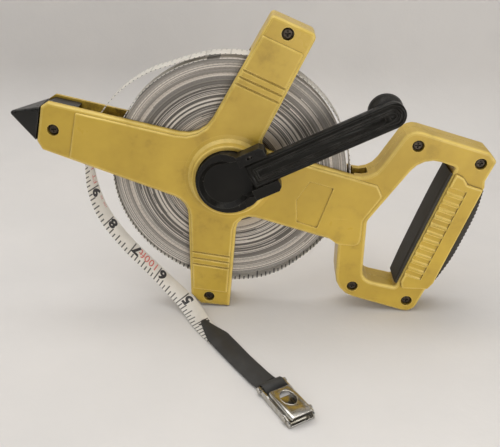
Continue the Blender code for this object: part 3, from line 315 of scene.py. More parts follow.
def metalMaterial(name, look):
    material, tree, shader = newMaterial(name)
    wearAndHighlight = useGroup(
        tree, edgeWear, Radius=look["edgeRadius"], Gain=look["edgeGain"], Patch=look["patchScale"])
    soilAndPaintedLight = useGroup(tree, dust, Reach=look["dirtShadeReach"], Scale=look["dirtShadeScale"])
    tooth = useGroup(tree, grain, Scale=look["grainScale"], Scuff=look["scuffScale"])
    stain = noiseValue(tree, look["stainScale"], roughness=0.6).spread(*look["stainEnds"])
    # Grime darkens corners: dirt and painted shade there
    colour = stain.mix(look["colour"], look["otherTone"])
    # The edge mask lightens edges as wear and as a painted highlight
    colour = layered(colour, look, [(wearAndHighlight["Mask"], "edge", "edge"), (soilAndPaintedLight["Grime"], "grimeShade", "grimeShade")])
    metal = look["metallic"] - soilAndPaintedLight["Grime"] * look["grimeDull"]
    rough = tooth["Tone"].spread(*look["roughEnds"], *look["roughness"])
    rough = rough + soilAndPaintedLight["Grime"] * look["grimeRough"] + stain * look["stainRough"]
    values = {"Base Color": colour, "Metallic": metal.clamped(), "Roughness": rough.clamped()}
    feedShader(shader, values, tooth["Height"] - tooth["Scuffs"], look)
    return material


plasticBase = dict(
    toneEnds=(0.3, 0.7), edgeMix=0.4, edgeGain=5.0, dirtShadeReach=0.003,
    roughEnds=(0.25, 0.75), scuffRough=0.12, filmRough=0.15, scuffDepth=0.8)
# The yellow's edge colour and shares are set to paint bright highlights on its edges and rounds
yellowLook = dict(
    plasticBase, colour=(0.57, 0.385, 0.056), otherTone=(0.47, 0.31, 0.044),
    edgeColour=(0.88, 0.68, 0.21), edgeMix=0.9, edgeRadius=0.0008, edgeGain=20.0, slopeMix=0.6,
    # The deep colour paints shade in creases and deep hollows
    deepColour=(0.09, 0.055, 0.02), deepMix=0.75, creaseEnds=(0.22, 0.5), creaseMix=0.75,
    filmSheenColour=(0.62, 0.5, 0.2), filmSheenMix=0.12, grimeShadeColour=(0.14, 0.085, 0.02), grimeShadeMix=0.8,
    dirtShadeReach=0.0022, smearNoise=(48.0, 6.0, 0.72), smearEnds=(0.53, 0.74), smearMix=0.26,
    scuffMix=0.25, grainScale=1500.0, bump=(0.1, 0.00005), roundRadius=0.0004,
    roughness=(0.26, 0.42), specular=0.36)
# On the black plastics the film also paints the sheen on top faces
blackLook = dict(
    plasticBase, colour=(0.005, 0.0045, 0.0036), otherTone=(0.009, 0.0082, 0.0065),
    edgeColour=(0.18, 0.17, 0.15), edgeMix=0.42, edgeRadius=0.0007, edgeGain=9.0,
    filmSheenColour=(0.16, 0.15, 0.135), filmSheenMix=0.22, grimeShadeColour=(0.06, 0.052, 0.04), grimeShadeMix=0.4,
    scuffMix=0.35, grainScale=1700.0, bump=(0.35, 0.00008), roundRadius=0.0005,
    roughness=(0.24, 0.38), specular=0.15)
spikeLook = dict(blackLook, colour=(0.011, 0.0105, 0.009), filmSheenMix=0.2, roughness=(0.2, 0.34), specular=0.5)
rubberLook = dict(
    plasticBase, colour=(0.03, 0.027, 0.022), otherTone=(0.045, 0.041, 0.034),
    edgeColour=(0.12, 0.11, 0.095), edgeRadius=0.0008,
    filmSheenColour=(0.16, 0.15, 0.13), filmSheenMix=0.4, grimeShadeColour=(0.07, 0.06, 0.045), grimeShadeMix=0.5,
    scuffMix=0.4, grainScale=1200.0, bump=(0.5, 0.00012), roundRadius=0.0006,
    roughness=(0.6, 0.8), specular=0.35)
strapLook = dict(
    plasticBase, colour=(0.026, 0.025, 0.024), otherTone=(0.036, 0.035, 0.033),
    edgeColour=(0.13, 0.125, 0.12), edgeRadius=0.0005, dirtShadeReach=0.002,
    filmSheenColour=(0.11, 0.107, 0.1), filmSheenMix=0.2, grimeShadeColour=(0.03, 0.028, 0.025), grimeShadeMix=0.3,
    scuffMix=0.3, grainScale=2400.0, bump=(0.4, 0.00006), roundRadius=0.0003,
    roughness=(0.5, 0.65), specular=0.4)
drumLook = dict(
    plasticBase, colour=(0.16, 0.105, 0.06), otherTone=(0.12, 0.08, 0.045),
    edgeColour=(0.26, 0.18, 0.11), edgeRadius=0.0005,
    filmSheenColour=(0.3, 0.25, 0.2), filmSheenMix=0.2, grimeShadeColour=(0.05, 0.035, 0.02), grimeShadeMix=0.4,
    scuffMix=0.2, grainScale=1500.0, bump=(0.3, 0.00006), roundRadius=0.0004,
    roughness=(0.45, 0.6), specular=0.4)
steelLook = dict(
    colour=(0.2, 0.185, 0.165), otherTone=(0.12, 0.105, 0.09), metallic=0.95,
    edgeColour=(0.5, 0.48, 0.45), edgeMix=0.6, edgeRadius=0.0003, edgeGain=5.0, patchScale=400.0,
    grimeShadeColour=(0.03, 0.025, 0.018), grimeShadeMix=0.8, grimeDull=0.6, grimeRough=0.3,
    dirtShadeReach=0.0012, dirtShadeScale=500.0, stainScale=600.0, stainEnds=(0.35, 0.68), stainRough=0.12,
    scuffScale=900.0, grainScale=3500.0, bump=(0.3, 0.00004), roundRadius=0.00025,
    roughEnds=(0.25, 0.75), roughness=(0.3, 0.45))
screwLook = dict(
    steelLook, colour=(0.085, 0.068, 0.05), otherTone=(0.045, 0.034, 0.025), metallic=0.7,
    edgeColour=(0.24, 0.2, 0.16), edgeMix=0.35, roughness=(0.38, 0.55))
nickelLook = dict(
    steelLook, colour=(0.6, 0.59, 0.56), otherTone=(0.4, 0.375, 0.32), metallic=1.0,
    edgeColour=(0.9, 0.89, 0.87), edgeMix=0.7, edgeRadius=0.0004,
    grimeShadeColour=(0.1, 0.075, 0.045), grimeShadeMix=0.7, dirtShadeReach=0.0018, stainScale=260.0,
    grainScale=2600.0, bump=(0.25, 0.00005), roundRadius=0.0003, roughness=(0.1, 0.2))

yellowPlastic = plasticMaterial("yellowPlastic", yellowLook)
blackPlastic = plasticMaterial("blackPlastic", blackLook)
spikePlastic = plasticMaterial("spikePlastic", spikeLook)
blackRubber = plasticMaterial("blackRubber", rubberLook)
strapVinyl = plasticMaterial("strapVinyl", strapLook)
drumPlastic = plasticMaterial("drumPlastic", drumLook)
darkSteel = metalMaterial("darkSteel", steelLook)
brownedScrew = metalMaterial("brownedScrew", screwLook)
nickelPlate = metalMaterial("nickelPlate", nickelLook)
print("materials made")


# The blade's coat, with an eighth-inch scale along the inner side's front edge and the outer side's back
# edge. UV x is the run from the hook in inches. UV y goes across the inner side from 0 to 1, and across the
# outer side from 2 to 3. Each mark has its count per inch and its reach across.
tapeLook = dict(
    marks=((8.0, 0.27), (4.0, 0.4), (2.0, 0.45), (1.0, 0.93)), lineHalf=0.019, outerEnd=3.0,
    inkColour=(0.03, 0.028, 0.03), inkMix=0.9, inkScale=2600.0, inkEnds=(0.28, 0.45, 0.55, 1.0),
    outerInk=0.35, colour=(0.78, 0.74, 0.68), otherTone=(0.7, 0.665, 0.6), outerTone=(0.62, 0.585, 0.52),
    toneScale=60.0, toneEnds=(0.35, 0.7), smudgeColour=(0.42, 0.37, 0.3), smudgeMix=0.3,
    smudgeScale=700.0, smudgeEnds=(0.6, 0.78), grimeShadeMix=0.45, dirtShadeReach=0.003, dirtShadeScale=220.0,
    weaveScale=16.0, weaveDepth=0.5, grainScale=1800.0, bump=(0.12, 0.00005),
    roughness=(0.42, 0.56), inkGloss=0.08)


def tapeMaterial(name, look):
    material, tree, shader = newMaterial(name)
    layout = wire(tree, "ShaderNodeUVMap", uv_map="tapeRun")
    parts = wires(tree, "ShaderNodeSeparateXYZ", (layout,))
    across = parts["Y"].maths("MINIMUM", look["outerEnd"] - parts["Y"])
    inside = parts["Y"].maths("LESS_THAN", look["outerEnd"] / 2)

    def marks(perInch, reach):
        offset = ((parts["X"] * perInch + 0.5).maths("FRACT") - 0.5).maths("ABSOLUTE")
        line = offset.maths("DIVIDE", perInch).maths("LESS_THAN", look["lineHalf"])
        return line * across.maths("LESS_THAN", reach)

    ink, *others = [marks(*mark) for mark in look["marks"]]
    for other in others:
        ink = ink.maths("MAXIMUM", other)
    ink = ink * noiseValue(tree, look["inkScale"], detail=3.0, roughness=0.7).spread(*look["inkEnds"])
    ink = ink * inside.spread(0.0, 1.0, look["outerInk"], 1.0)
    soilAndPaintedLight = useGroup(tree, dust, Reach=look["dirtShadeReach"], Scale=look["dirtShadeScale"])
    blotch = noiseValue(tree, look["toneScale"], detail=5.0, roughness=0.65).spread(*look["toneEnds"])
    smudge = noiseValue(tree, look["smudgeScale"], roughness=0.7).spread(*look["smudgeEnds"])
    colour = inside.mix(look["outerTone"], blotch.mix(look["colour"], look["otherTone"]))
    # Grime in corners takes the smudge colour: dirt and painted shade there
    colour = layered(colour, look, [
        (smudge, "smudge", "smudge"), (ink, "ink", "ink"), (soilAndPaintedLight["Grime"], "grimeShade", "smudge")])
    rough = blotch.spread(0.0, 1.0, *look["roughness"]) - ink * look["inkGloss"]
    weave = wire(tree, "ShaderNodeTexWave", "Fac", {"Vector": layout, "Scale": look["weaveScale"]})
    height = weave * look["weaveDepth"] + noiseValue(tree, look["grainScale"], detail=2.0)
    feedShader(shader, {"Base Color": colour, "Roughness": rough}, height, look)
    return material


whiteTape = tapeMaterial("whiteTape", tapeLook)

inkLook = dict(
    fadeScale=1500.0, fadeEnds=(0.35, 0.72), roughScale=900.0, roughEnds=(0.3, 0.7, 0.4, 0.55),
    grainScale=1800.0, bump=(0.1, 0.00004))


def inkMaterial(name, colour, faded):
    look = inkLook
    material, tree, shader = newMaterial(name)
    fade = noiseValue(tree, look["fadeScale"], roughness=0.7).spread(*look["fadeEnds"])
    rough = noiseValue(tree, look["roughScale"], detail=2.0).spread(*look["roughEnds"])
    values = {"Base Color": fade.mix(colour, faded), "Roughness": rough}
    feedShader(shader, values, noiseValue(tree, look["grainScale"], detail=2.0), look)
    return material


blackInk = inkMaterial("blackInk", (0.025, 0.024, 0.026), (0.06, 0.055, 0.055))
redInk = inkMaterial("redInk", (0.6, 0.13, 0.11), (0.68, 0.3, 0.26))

# The blade and its route: x, y, z in mm round the axle and the turn of the width in degrees, roll to hook
inch = 25.4
tapeWidth = 13.0
tapeThickness = 0.45
tapeEdge = 0.12
freeTapeRoute = [
    (-14.0, 0.0, 77.9, 0), (-26.7, 0.0, 74.6, 0), (-37.0, 0.0, 71.2, 0), (-49.0, 0.0, 67.2, 0),
    (-61.0, 0.0, 60.6, 0), (-70.5, 0.0, 53.2, 0), (-79.5, 0.0, 43.6, 0), (-87.5, 0.0, 31.5, 0),
    (-92.4, 0.0, 20.0, 0), (-94.6, 0.0, 8.0, 2), (-94.6, -0.6, -2.5, 12), (-93.3, -1.4, -14.3, 19),
    (-89.9, -2.6, -26.5, 22), (-84.3, -3.9, -37.8, 22), (-77.0, -5.2, -48.0, 21), (-68.9, -6.5, -57.8, 21),
    (-60.2, -7.6, -66.9, 21), (-51.6, -8.6, -76.2, 23), (-43.2, -9.9, -85.4, 29), (-34.2, -13.8, -92.8, 36),
    (-26.2, -22.0, -97.2, 37), (-19.6, -32.6, -99.3, 22), (-9.6, -46.6, -100.7, 4), (0.0, -57.0, -101.0, 0),
]
freeTapeSteps = 10
nineInchPoint = 11  # the route's point at the 9-inch mark


# A smooth curve through the points, with each stretch in so many steps
def smoothRoute(points, steps):
    points = [Vector(point) for point in points]
    route = []
    for before, start, end, after in zip(points[:1] + points, points, points[1:], points[2:] + points[-1:]):
        bend = 2 * before - 5 * start + 4 * end - after
        twist = 3 * start - before - 3 * end + after
        for share in [step / steps for step in range(steps)]:
            route.append(0.5 * (2 * start + (end - before) * share + bend * share ** 2 + twist * share ** 3))
    return route + points[-1:]


# Run, place and direction at each spot of a route
def walk(spots):
    run = 0.0
    for index, spot in enumerate(spots):
        before, after = spots[max(index - 1, 0)], spots[min(index + 1, len(spots) - 1)]
        run += (spot - before).length
        yield run, spot, (after - before).normalized()


def squareTo(direction, across):
    return (across - direction * across.dot(direction)).normalized()


# Run, middle, width direction and printed-side normal at each place of a route, in mm round the axle
def ribbonFrames(route):
    frames = []
    for (*_, turn), (run, middle, direction) in zip(route, walk([Vector(spot[:3]) for spot in route])):
        across = Matrix.Rotation(math.radians(turn), 3, direction) @ squareTo(direction, Vector((0, 1, 0)))
        frames.append((run, middle, across, direction.cross(across)))
    return frames


def linkMesh(name, builder, materials=(), smooth=True, outwards=True):
    if outwards:
        bmesh.ops.recalc_face_normals(builder, faces=builder.faces)
    mesh = bpy.data.meshes.new(name)
    builder.to_mesh(mesh)
    builder.free()
    for material in materials:
        mesh.materials.append(material)
    if smooth:
        mesh.polygons.foreach_set("use_smooth", [True] * len(mesh.polygons))
    return linkObject(name, mesh)


# Faces between two rings of points
def bridge(builder, first, second):
    corners = zip(first, first[1:] + first[:1], second[1:] + second[:1], second)
    return [builder.faces.new(four) for four in corners]


# Half a section with softly rounded edges, and its mirror image
def bladeSection(half, thick, edge):
    lower = [(-half, -thick + edge), (-half + edge, -thick), (half - edge, -thick), (half, -thick + edge)]
    return lower + [(a, -b) for a, b in reversed(lower)]


def bladeRing(builder, middle, across, normal, section):
    return [builder.verts.new(rowPlace(*(middle + across * a + normal * b))) for a, b in section]


# UV y at both ends of each of the section's sides
bladeSides = (
    (2.0, 2.01), (2.01, 2.99), (2.99, 3.0), (2.99, 2.99), (1.0, 0.99), (0.99, 0.01), (0.01, 0.0), (0.0, 0.0))
blankCoat = (0.5, 2.5)


# inchAt turns the run in mm into the printed scale
def makeRibbon(builder, frames, inchAt):
    layer = builder.loops.layers.uv.new("tapeRun")
    section = bladeSection(tapeWidth / 2, tapeThickness / 2, tapeEdge)
    rings = [bladeRing(builder, *places, section) for run, *places in frames]
    for index in range(len(frames) - 1):
        run, nextRun = frames[index][0], frames[index + 1][0]
        faces = bridge(builder, rings[index], rings[index + 1])
        for face, (low, high) in zip(faces, bladeSides):
            for loop, place, v in zip(face.loops, (run, run, nextRun, nextRun), (low, high, high, low)):
                loop[layer].uv = (inchAt(place), v)
    for ring in (rings[0], rings[-1]):
        for loop in builder.faces.new(ring).loops:
            loop[layer].uv = blankCoat


freeFrames = ribbonFrames(smoothRoute(freeTapeRoute, freeTapeSteps))
nineRun = freeFrames[nineInchPoint * freeTapeSteps][0]
freeLength = freeFrames[-1][0]


def freeInch(run):
    return 9.0 - (run - nineRun) / inch


freeBuilder = bmesh.new()
makeRibbon(freeBuilder, freeFrames, freeInch)
freeTape = linkMesh("freeTape", freeBuilder, [whiteTape])
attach(freeTape, "frame")
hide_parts("free_tape")

# Flat figures laid on the blade. Each row: words, inch, lead along the run in mm, share across, height in mm,
# widening, boldness and material.
figureRows = [(str(number), number, 0.7, 0.645, 7.2, 1.08, 0.045, 0) for number in range(4, 10)]
figureRows += [
    ("100ft", 7, 5.6, 0.7, 5.9, 0.96, 0.012, 1), ("100  30", 9, 7.5, 0.86, 1.7, 1.2, 0.0, 1),
    ("FT 10", 10, 7.5, 0.78, 4.0, 1.1, 0.0, 1),
]
figureSettings = {
    "extrude": 0.004, "resolution": 5, "spacing": 1.08, "capHeight": 0.7, "merge": 0.0005, "pitch": 0.9,
    "lift": 0.02,
}


def frameAt(run):
    for start, end in zip(freeFrames, freeFrames[1:]):
        if start[0] <= run <= end[0]:
            share = (run - start[0]) / (end[0] - start[0])
            return [start[part].lerp(end[part], share) for part in (1, 2, 3)]
    return freeFrames[-1][1:]


def cutGrid(cut, pitch):
    for axis in (Vector((1, 0, 0)), Vector((0, 1, 0))):
        places = [vertex.co.dot(axis) for vertex in cut.verts]
        place = math.ceil(min(places) / pitch) * pitch
        while place < max(places):
            everything = cut.verts[:] + cut.edges[:] + cut.faces[:]
            bmesh.ops.bisect_plane(
                cut, geom=everything, dist=pitch / 1000, plane_co=axis * place, plane_no=axis)
            place += pitch


def layFigure(builder, words, inches, lead, acrossMiddle, height, widen, bold, slotIndex):
    look = figureSettings
    curve = bpy.data.curves.new("figure", "FONT")
    curve.body = words
    curve.align_x = "RIGHT"
    curve.align_y = "CENTER"
    curve.offset = bold
    curve.extrude = look["extrude"]
    curve.resolution_u = look["resolution"]
    curve.space_character = look["spacing"]
    holder = linkObject("figure", curve)
    bpy.context.view_layer.update()
    scale = height / look["capHeight"]
    cut = bmesh.new()
    cut.from_mesh(holder.to_mesh())
    holder.to_mesh_clear()
    bpy.data.objects.remove(holder)
    bpy.data.curves.remove(curve)
    bmesh.ops.remove_doubles(cut, verts=cut.verts, dist=look["merge"])
    cutGrid(cut, look["pitch"] / scale)
    start = nineRun + (9.0 - inches) * inch + lead
    made = {}
    for vertex in cut.verts:
        middle, across, normal = frameAt(start - vertex.co.x * scale * widen)
        offset = (acrossMiddle - 0.5) * tapeWidth - vertex.co.y * scale
        rise = tapeThickness / 2 + look["lift"] + vertex.co.z * scale
        made[vertex] = builder.verts.new(rowPlace(*(middle + across * offset + normal * rise)))
    for polygon in cut.faces:
        face = builder.faces.new([made[corner] for corner in polygon.verts])
        face.material_index = slotIndex
    cut.free()


figureBuilder = bmesh.new()
for row in figureRows:
    layFigure(figureBuilder, *row)
figures = linkMesh("tapeFigures", figureBuilder, [blackInk, redInk], smooth=False, outwards=False)
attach(figures, "frame")
print("free tape made", round(freeLength, 1))

# Places on the hook are lengths forwards from its rear pin, across it, and up from the floor, in mm
hookPlace = Vector((30.2, -97.5, -101.65))
hookAngle = -57.5


def hookSpot(x, y, z):
    return hookPlace + Matrix.Rotation(math.radians(hookAngle), 3, "Z") @ Vector((x, y, z))


# Leader strap, doubled back round the hook's rear pin. Its top is in places round the axle, and its loop in x
# and z on the hook. The loop's first points swing aside to meet the top.
strapSettings = {
    "thick": 0.9, "edge": 0.22, "wide": 14.7, "shoulder": 15.4, "tip": 3.6, "point": 20.0, "taper": 26.0,
    "endShare": 0.5, "steps": 8, "turnSteps": 16, "swing": 0.16, "swingStart": 1.0, "swingPoints": 3,
    "sharpDegrees": 50,
    "top": [(-17.6, -32.9, -98.15), (-13.4, -39.4, -98.9), (-5.4, -50.2, -99.6), (3.0, -62.0, -99.75),
            (11.0, -73.4, -99.8), (17.0, -81.4, -99.8)],
    "loop": [(-13.0, 1.85), (-8.6, 1.75), (-5.6, 2.1), (-3.9, 3.7), (-2.0, 5.6), (0.6, 6.5), (3.2, 6.0),
             (4.9, 4.3), (4.7, 2.2), (2.6, 0.95), (-1.0, 0.62), (-5.0, 0.6), (-8.5, 0.6)],
}


def strapWide(run, look):
    if run < look["point"]:
        return look["tip"] + (look["shoulder"] - look["tip"]) * run / look["point"]
    share = min(1.0, (run - look["point"]) / look["taper"])
    return look["shoulder"] + (look["wide"] - look["shoulder"]) * share


def makeStrap(look):
    points = [Vector(place) for place in look["top"]]
    strapAcross = (points[-1] - points[0]).cross(Vector((0, 0, 1))).normalized()
    pinAcross = (hookSpot(0, -1, 0) - hookSpot(0, 0, 0)).normalized()
    turnStart = (len(points) - 1) * look["steps"]
    for index, (x, z) in enumerate(look["loop"]):
        swing = look["swing"] if index < look["swingPoints"] else 0.0
        points.append(hookSpot(x, -swing * max(0.0, -x - look["swingStart"]), z))
    builder = bmesh.new()
    rings = []
    for index, (run, spot, direction) in enumerate(walk(smoothRoute(points, look["steps"]))):
        share = min(1.0, max(0.0, (index - turnStart) / look["turnSteps"]))
        across = squareTo(direction, strapAcross.lerp(pinAcross, share))
        half = strapWide(run, look) / 2 * (1.0 if index else look["endShare"])
        section = bladeSection(half, look["thick"] / 2, look["edge"])
        rings.append(bladeRing(builder, spot, across, across.cross(direction), section))
    for first, second in zip(rings, rings[1:]):
        bridge(builder, first, second)
    builder.faces.new(rings[0])
    builder.faces.new(rings[-1])
    made = linkMesh("leaderStrap", builder, [strapVinyl])
    made.data.set_sharp_from_angle(angle=math.radians(look["sharpDegrees"]))
    return made


leaderStrap = makeStrap(strapSettings)
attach(leaderStrap, "frame")
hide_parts("tape_strap")
print("strap made")


# A closed prism between two outlines
def loft(builder, *outlines):
    rings = [[builder.verts.new(place) for place in outline] for outline in outlines]
    bridge(builder, *rings)
    for ring in rings:
        builder.faces.new(ring)


softenSegments = 2
softenDegrees = 40


# Cuts a piece with named builders and gives the result as a new builder. softenWidth rounds its edges.
def carve(piece, cutters, softenWidth=0.0):
    spent = [piece]
    for name, builder, operation in cutters:
        modifier = piece.modifiers.new(name, "BOOLEAN")
        modifier.operation = operation
        modifier.solver = "EXACT"
        modifier.object = linkMesh(name, builder, smooth=False)
        spent.append(modifier.object)
    if softenWidth:
        soften = piece.modifiers.new("soften", "BEVEL")
        soften.width = softenWidth
        soften.segments = softenSegments
        soften.limit_method = "ANGLE"
        soften.angle_limit = math.radians(softenDegrees)
    depsgraph = bpy.context.evaluated_depsgraph_get()
    whole = bmesh.new()
    whole.from_object(piece, depsgraph)
    for thing in spent:
        bpy.data.objects.remove(thing)
    return whole


# The hook's cover, folded down at both sides, with an oval eye and rounded knuckles round its pin
coverSettings = {
    "rear": 8.4, "front": 32.7, "half": 7.5, "top": 8.0, "low": 0.6, "sheet": 0.8, "bend": 1.5,
    "bendSteps": 6, "foot": 4.6, "slant": 0.9, "pinX": 27.0, "pinZ": 3.6, "knuckle": 2.1, "knuckleSteps": 10,
    "chin": (2.4, 1.7), "nose": 1.7, "spare": 1, "soften": 0.14, "sharpDegrees": 38,
    "eyeX": 17.6, "eyeLong": 6.3, "eyeWide": 4.6, "eyeSteps": 40, "eyeSpare": 3,
    "lip": 0.3, "lipShares": (0.75, 0.25), "lipSink": 0.05, "lipSteps": 8,
}


def coverSheet(look):
    half, top, low, bend, sheet = [look[key] for key in ("half", "top", "low", "bend", "sheet")]

    def wall(inset):
        points = [(-half + inset, low)]
        for side in (-1, 1):
            for step in range(look["bendSteps"] + 1):
                angle = math.pi / 2 * step / look["bendSteps"]
                if side > 0:
                    angle = math.pi / 2 - angle
                y = half - bend + (bend - inset) * math.cos(angle)
                points.append((side * y, top - bend + (bend - inset) * math.sin(angle)))
        return points + [(half - inset, low)]

    section = wall(0) + wall(sheet)[::-1]
    builder = bmesh.new()
    loft(builder, [(look["rear"], y, z) for y, z in section], [(look["front"], y, z) for y, z in section])
    return linkMesh("hookCover", builder, smooth=False)


# Its side view: straight over the channel, round the knuckles and up to the nose
def coverSide(look):
    spare, top, pinX, pinZ, knuckle = [look[key] for key in ("spare", "top", "pinX", "pinZ", "knuckle")]
    rear, front = look["rear"] - spare, look["front"] + spare
    foot, (chinX, chinZ) = look["foot"], look["chin"]
    outline = [(rear, top + spare), (rear, foot + spare), (look["rear"] + look["slant"], foot),
               (pinX - knuckle - spare, foot)]
    for step in range(look["knuckleSteps"] + 1):
        angle = math.pi + math.pi * step / look["knuckleSteps"]
        outline.append((pinX + knuckle * math.cos(angle), pinZ + knuckle * math.sin(angle)))
    outline += [(pinX + chinX, pinZ + chinZ), (front, top - look["nose"]), (front, top + spare)]
    builder = bmesh.new()
    loft(builder, *[[(x, y, z) for x, z in outline] for y in (-look["half"] - spare, look["half"] + spare)])
    return builder


def eyeSpot(a, z, look):
    return Vector((look["eyeX"] + look["eyeLong"] * math.cos(a), look["eyeWide"] * math.sin(a), z))


def roundAngles(steps):
    return [2 * math.pi * step / steps for step in range(steps)]


# A pressed lip round the eye, lowest at its front
def addLip(builder, look):
    rings = []
    for a in roundAngles(look["eyeSteps"]):
        out = Vector((math.cos(a) * look["eyeWide"], math.sin(a) * look["eyeLong"], 0)).normalized()
        centre = eyeSpot(a, look["top"] - look["lipSink"], look)
        size = look["lip"] * (look["lipShares"][0] - look["lipShares"][1] * math.cos(a))
        rings.append([
            builder.verts.new(centre + out * size * math.cos(b) + Vector((0, 0, size * math.sin(b))))
            for b in roundAngles(look["lipSteps"])])
    faces = []
    for first, second in zip(rings, rings[1:] + rings[:1]):
        faces += bridge(builder, first, second)
    bmesh.ops.recalc_face_normals(builder, faces=faces)


def makeCover(look):
    eye = bmesh.new()
    loft(eye, *[[eyeSpot(a, z, look) for a in roundAngles(look["eyeSteps"])]
                for z in (look["top"] - look["eyeSpare"], look["top"] + look["eyeSpare"])])
    cutters = (("coverShape", coverSide(look), "INTERSECT"), ("coverEye", eye, "DIFFERENCE"))
    whole = carve(coverSheet(look), cutters, look["soften"])
    addLip(whole, look)
    for vertex in whole.verts:
        vertex.co = rowPlace(*hookSpot(*vertex.co))
    made = linkMesh("hookCover", whole, [nickelPlate], outwards=False)
    made.data.set_sharp_from_angle(angle=math.radians(look["sharpDegrees"]))
    return made


hookCover = makeCover(coverSettings)
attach(hookCover, "claw")
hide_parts("hook_claw")
print("hook cover made")

# The crank arm, with the nested grooves moulded along its front. Each ring has its outer and inner half width
# and the length along the arm where its round end starts.
armSettings = {
    "angle": 26.0, "front": -29.2, "depth": 0.4, "proud": 0.5, "half": 8.15, "heel": 15.8, "roundSteps": 14,
    "rings": ((3.9, 3.3, 109.6), (2.3, 1.7, 103.0)), "merge": 1e-6, "sharpDegrees": 38,
}


def armSpot(along, y, across):
    angle = math.radians(armSettings["angle"])
    return rowPlace(along * math.cos(angle) - across * math.sin(angle), y,
                    along * math.sin(angle) + across * math.cos(angle))


def makeGroovedArm(look):
    plain = bmesh.new()
    plain.from_mesh(nodes["crank_arm"].data)
    bmesh.ops.remove_doubles(plain, verts=plain.verts, dist=look["merge"])
    proud, deep = look["front"] - look["proud"], look["front"] + look["depth"]
    cut = bmesh.new()
    for wide, narrow, tip in look["rings"]:
        loops = []
        for half, y in ((wide, proud), (wide, deep), (narrow, deep), (narrow, proud)):
            heel = look["heel"] + look["half"] - half
            points = [(heel, half), (heel, -half)]
            for step in range(look["roundSteps"] + 1):
                turn = math.pi * (step / look["roundSteps"] - 0.5)
                points.append((tip + half * math.cos(turn), half * math.sin(turn)))
            loops.append([cut.verts.new(armSpot(along, y, across)) for along, across in points])
        for first, second in zip(loops, loops[1:] + loops[:1]):
            bridge(cut, first, second)
    whole = carve(linkMesh("groovedArm", plain, smooth=False), [("armGrooves", cut, "DIFFERENCE")])
    made = linkMesh("groovedArm", whole, [blackPlastic], outwards=False)
    made.data.set_sharp_from_angle(angle=math.radians(look["sharpDegrees"]))
    return made


groovedArm = makeGroovedArm(armSettings)
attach(groovedArm, "crank")
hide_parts("crank_arm")
print("crank arm made", len(groovedArm.data.polygons))

# Loose outer turn, from the roll's end at the top once round to the free tape: angle in degrees from the
# handle's side over the top, and radius in mm
wrapPlaces = [
    (100, 76.7), (125, 76.9), (150, 77.2), (180, 77.5), (205, 77.7), (225, 77.9), (238, 78.1), (248, 79.2),
    (258, 80.3), (268, 80.75), (278, 81.2), (287, 81.3), (296, 80.6), (307, 79.0), (318, 78.6), (332, 78.75),
    (350, 78.7), (375, 78.7), (400, 78.8), (430, 78.95), (460, 79.15),
]
wrapSteps = 6


def makeWrap():
    spots = []
    for angle, radius in smoothRoute(wrapPlaces, wrapSteps):
        turned = math.radians(angle)
        spots.append((radius * math.cos(turned), 0.0, radius * math.sin(turned), 0.0))
    frames = ribbonFrames(spots)
    total = frames[-1][0]
    builder = bmesh.new()
    makeRibbon(builder, frames, lambda run: freeInch(run - total))
    return linkMesh("looseTurn", builder, [whiteTape])


looseTurn = makeWrap()
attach(looseTurn, "frame")
print("loose turn made")

# The wound roll, a true spiral built with geometry nodes. Its settings are the node group's inputs.
rollSettings = {
    "Turns": 104.0, "Inner Radius": 0.0314, "Outer Radius": 0.0762, "Steps": 168, "Width": 0.013,
    "Thickness": 0.0004, "Wander": 0.00042, "Seed": 7.3,
}
# Each turn sits a little to one side of the next, most of all near the drum
wanderSettings = {
    "coarse": (900.0, 3.0), "coarseShare": 1.6, "single": (2600.0, 1.0), "singleShare": 0.8,
    "slow": {"Scale": 28.0, "Detail": 1.0}, "slowShare": 0.5, "middle": 1.45,
    "fade": (0.052, 0.067, 1.6, 0.3), "limit": 0.00042,
}


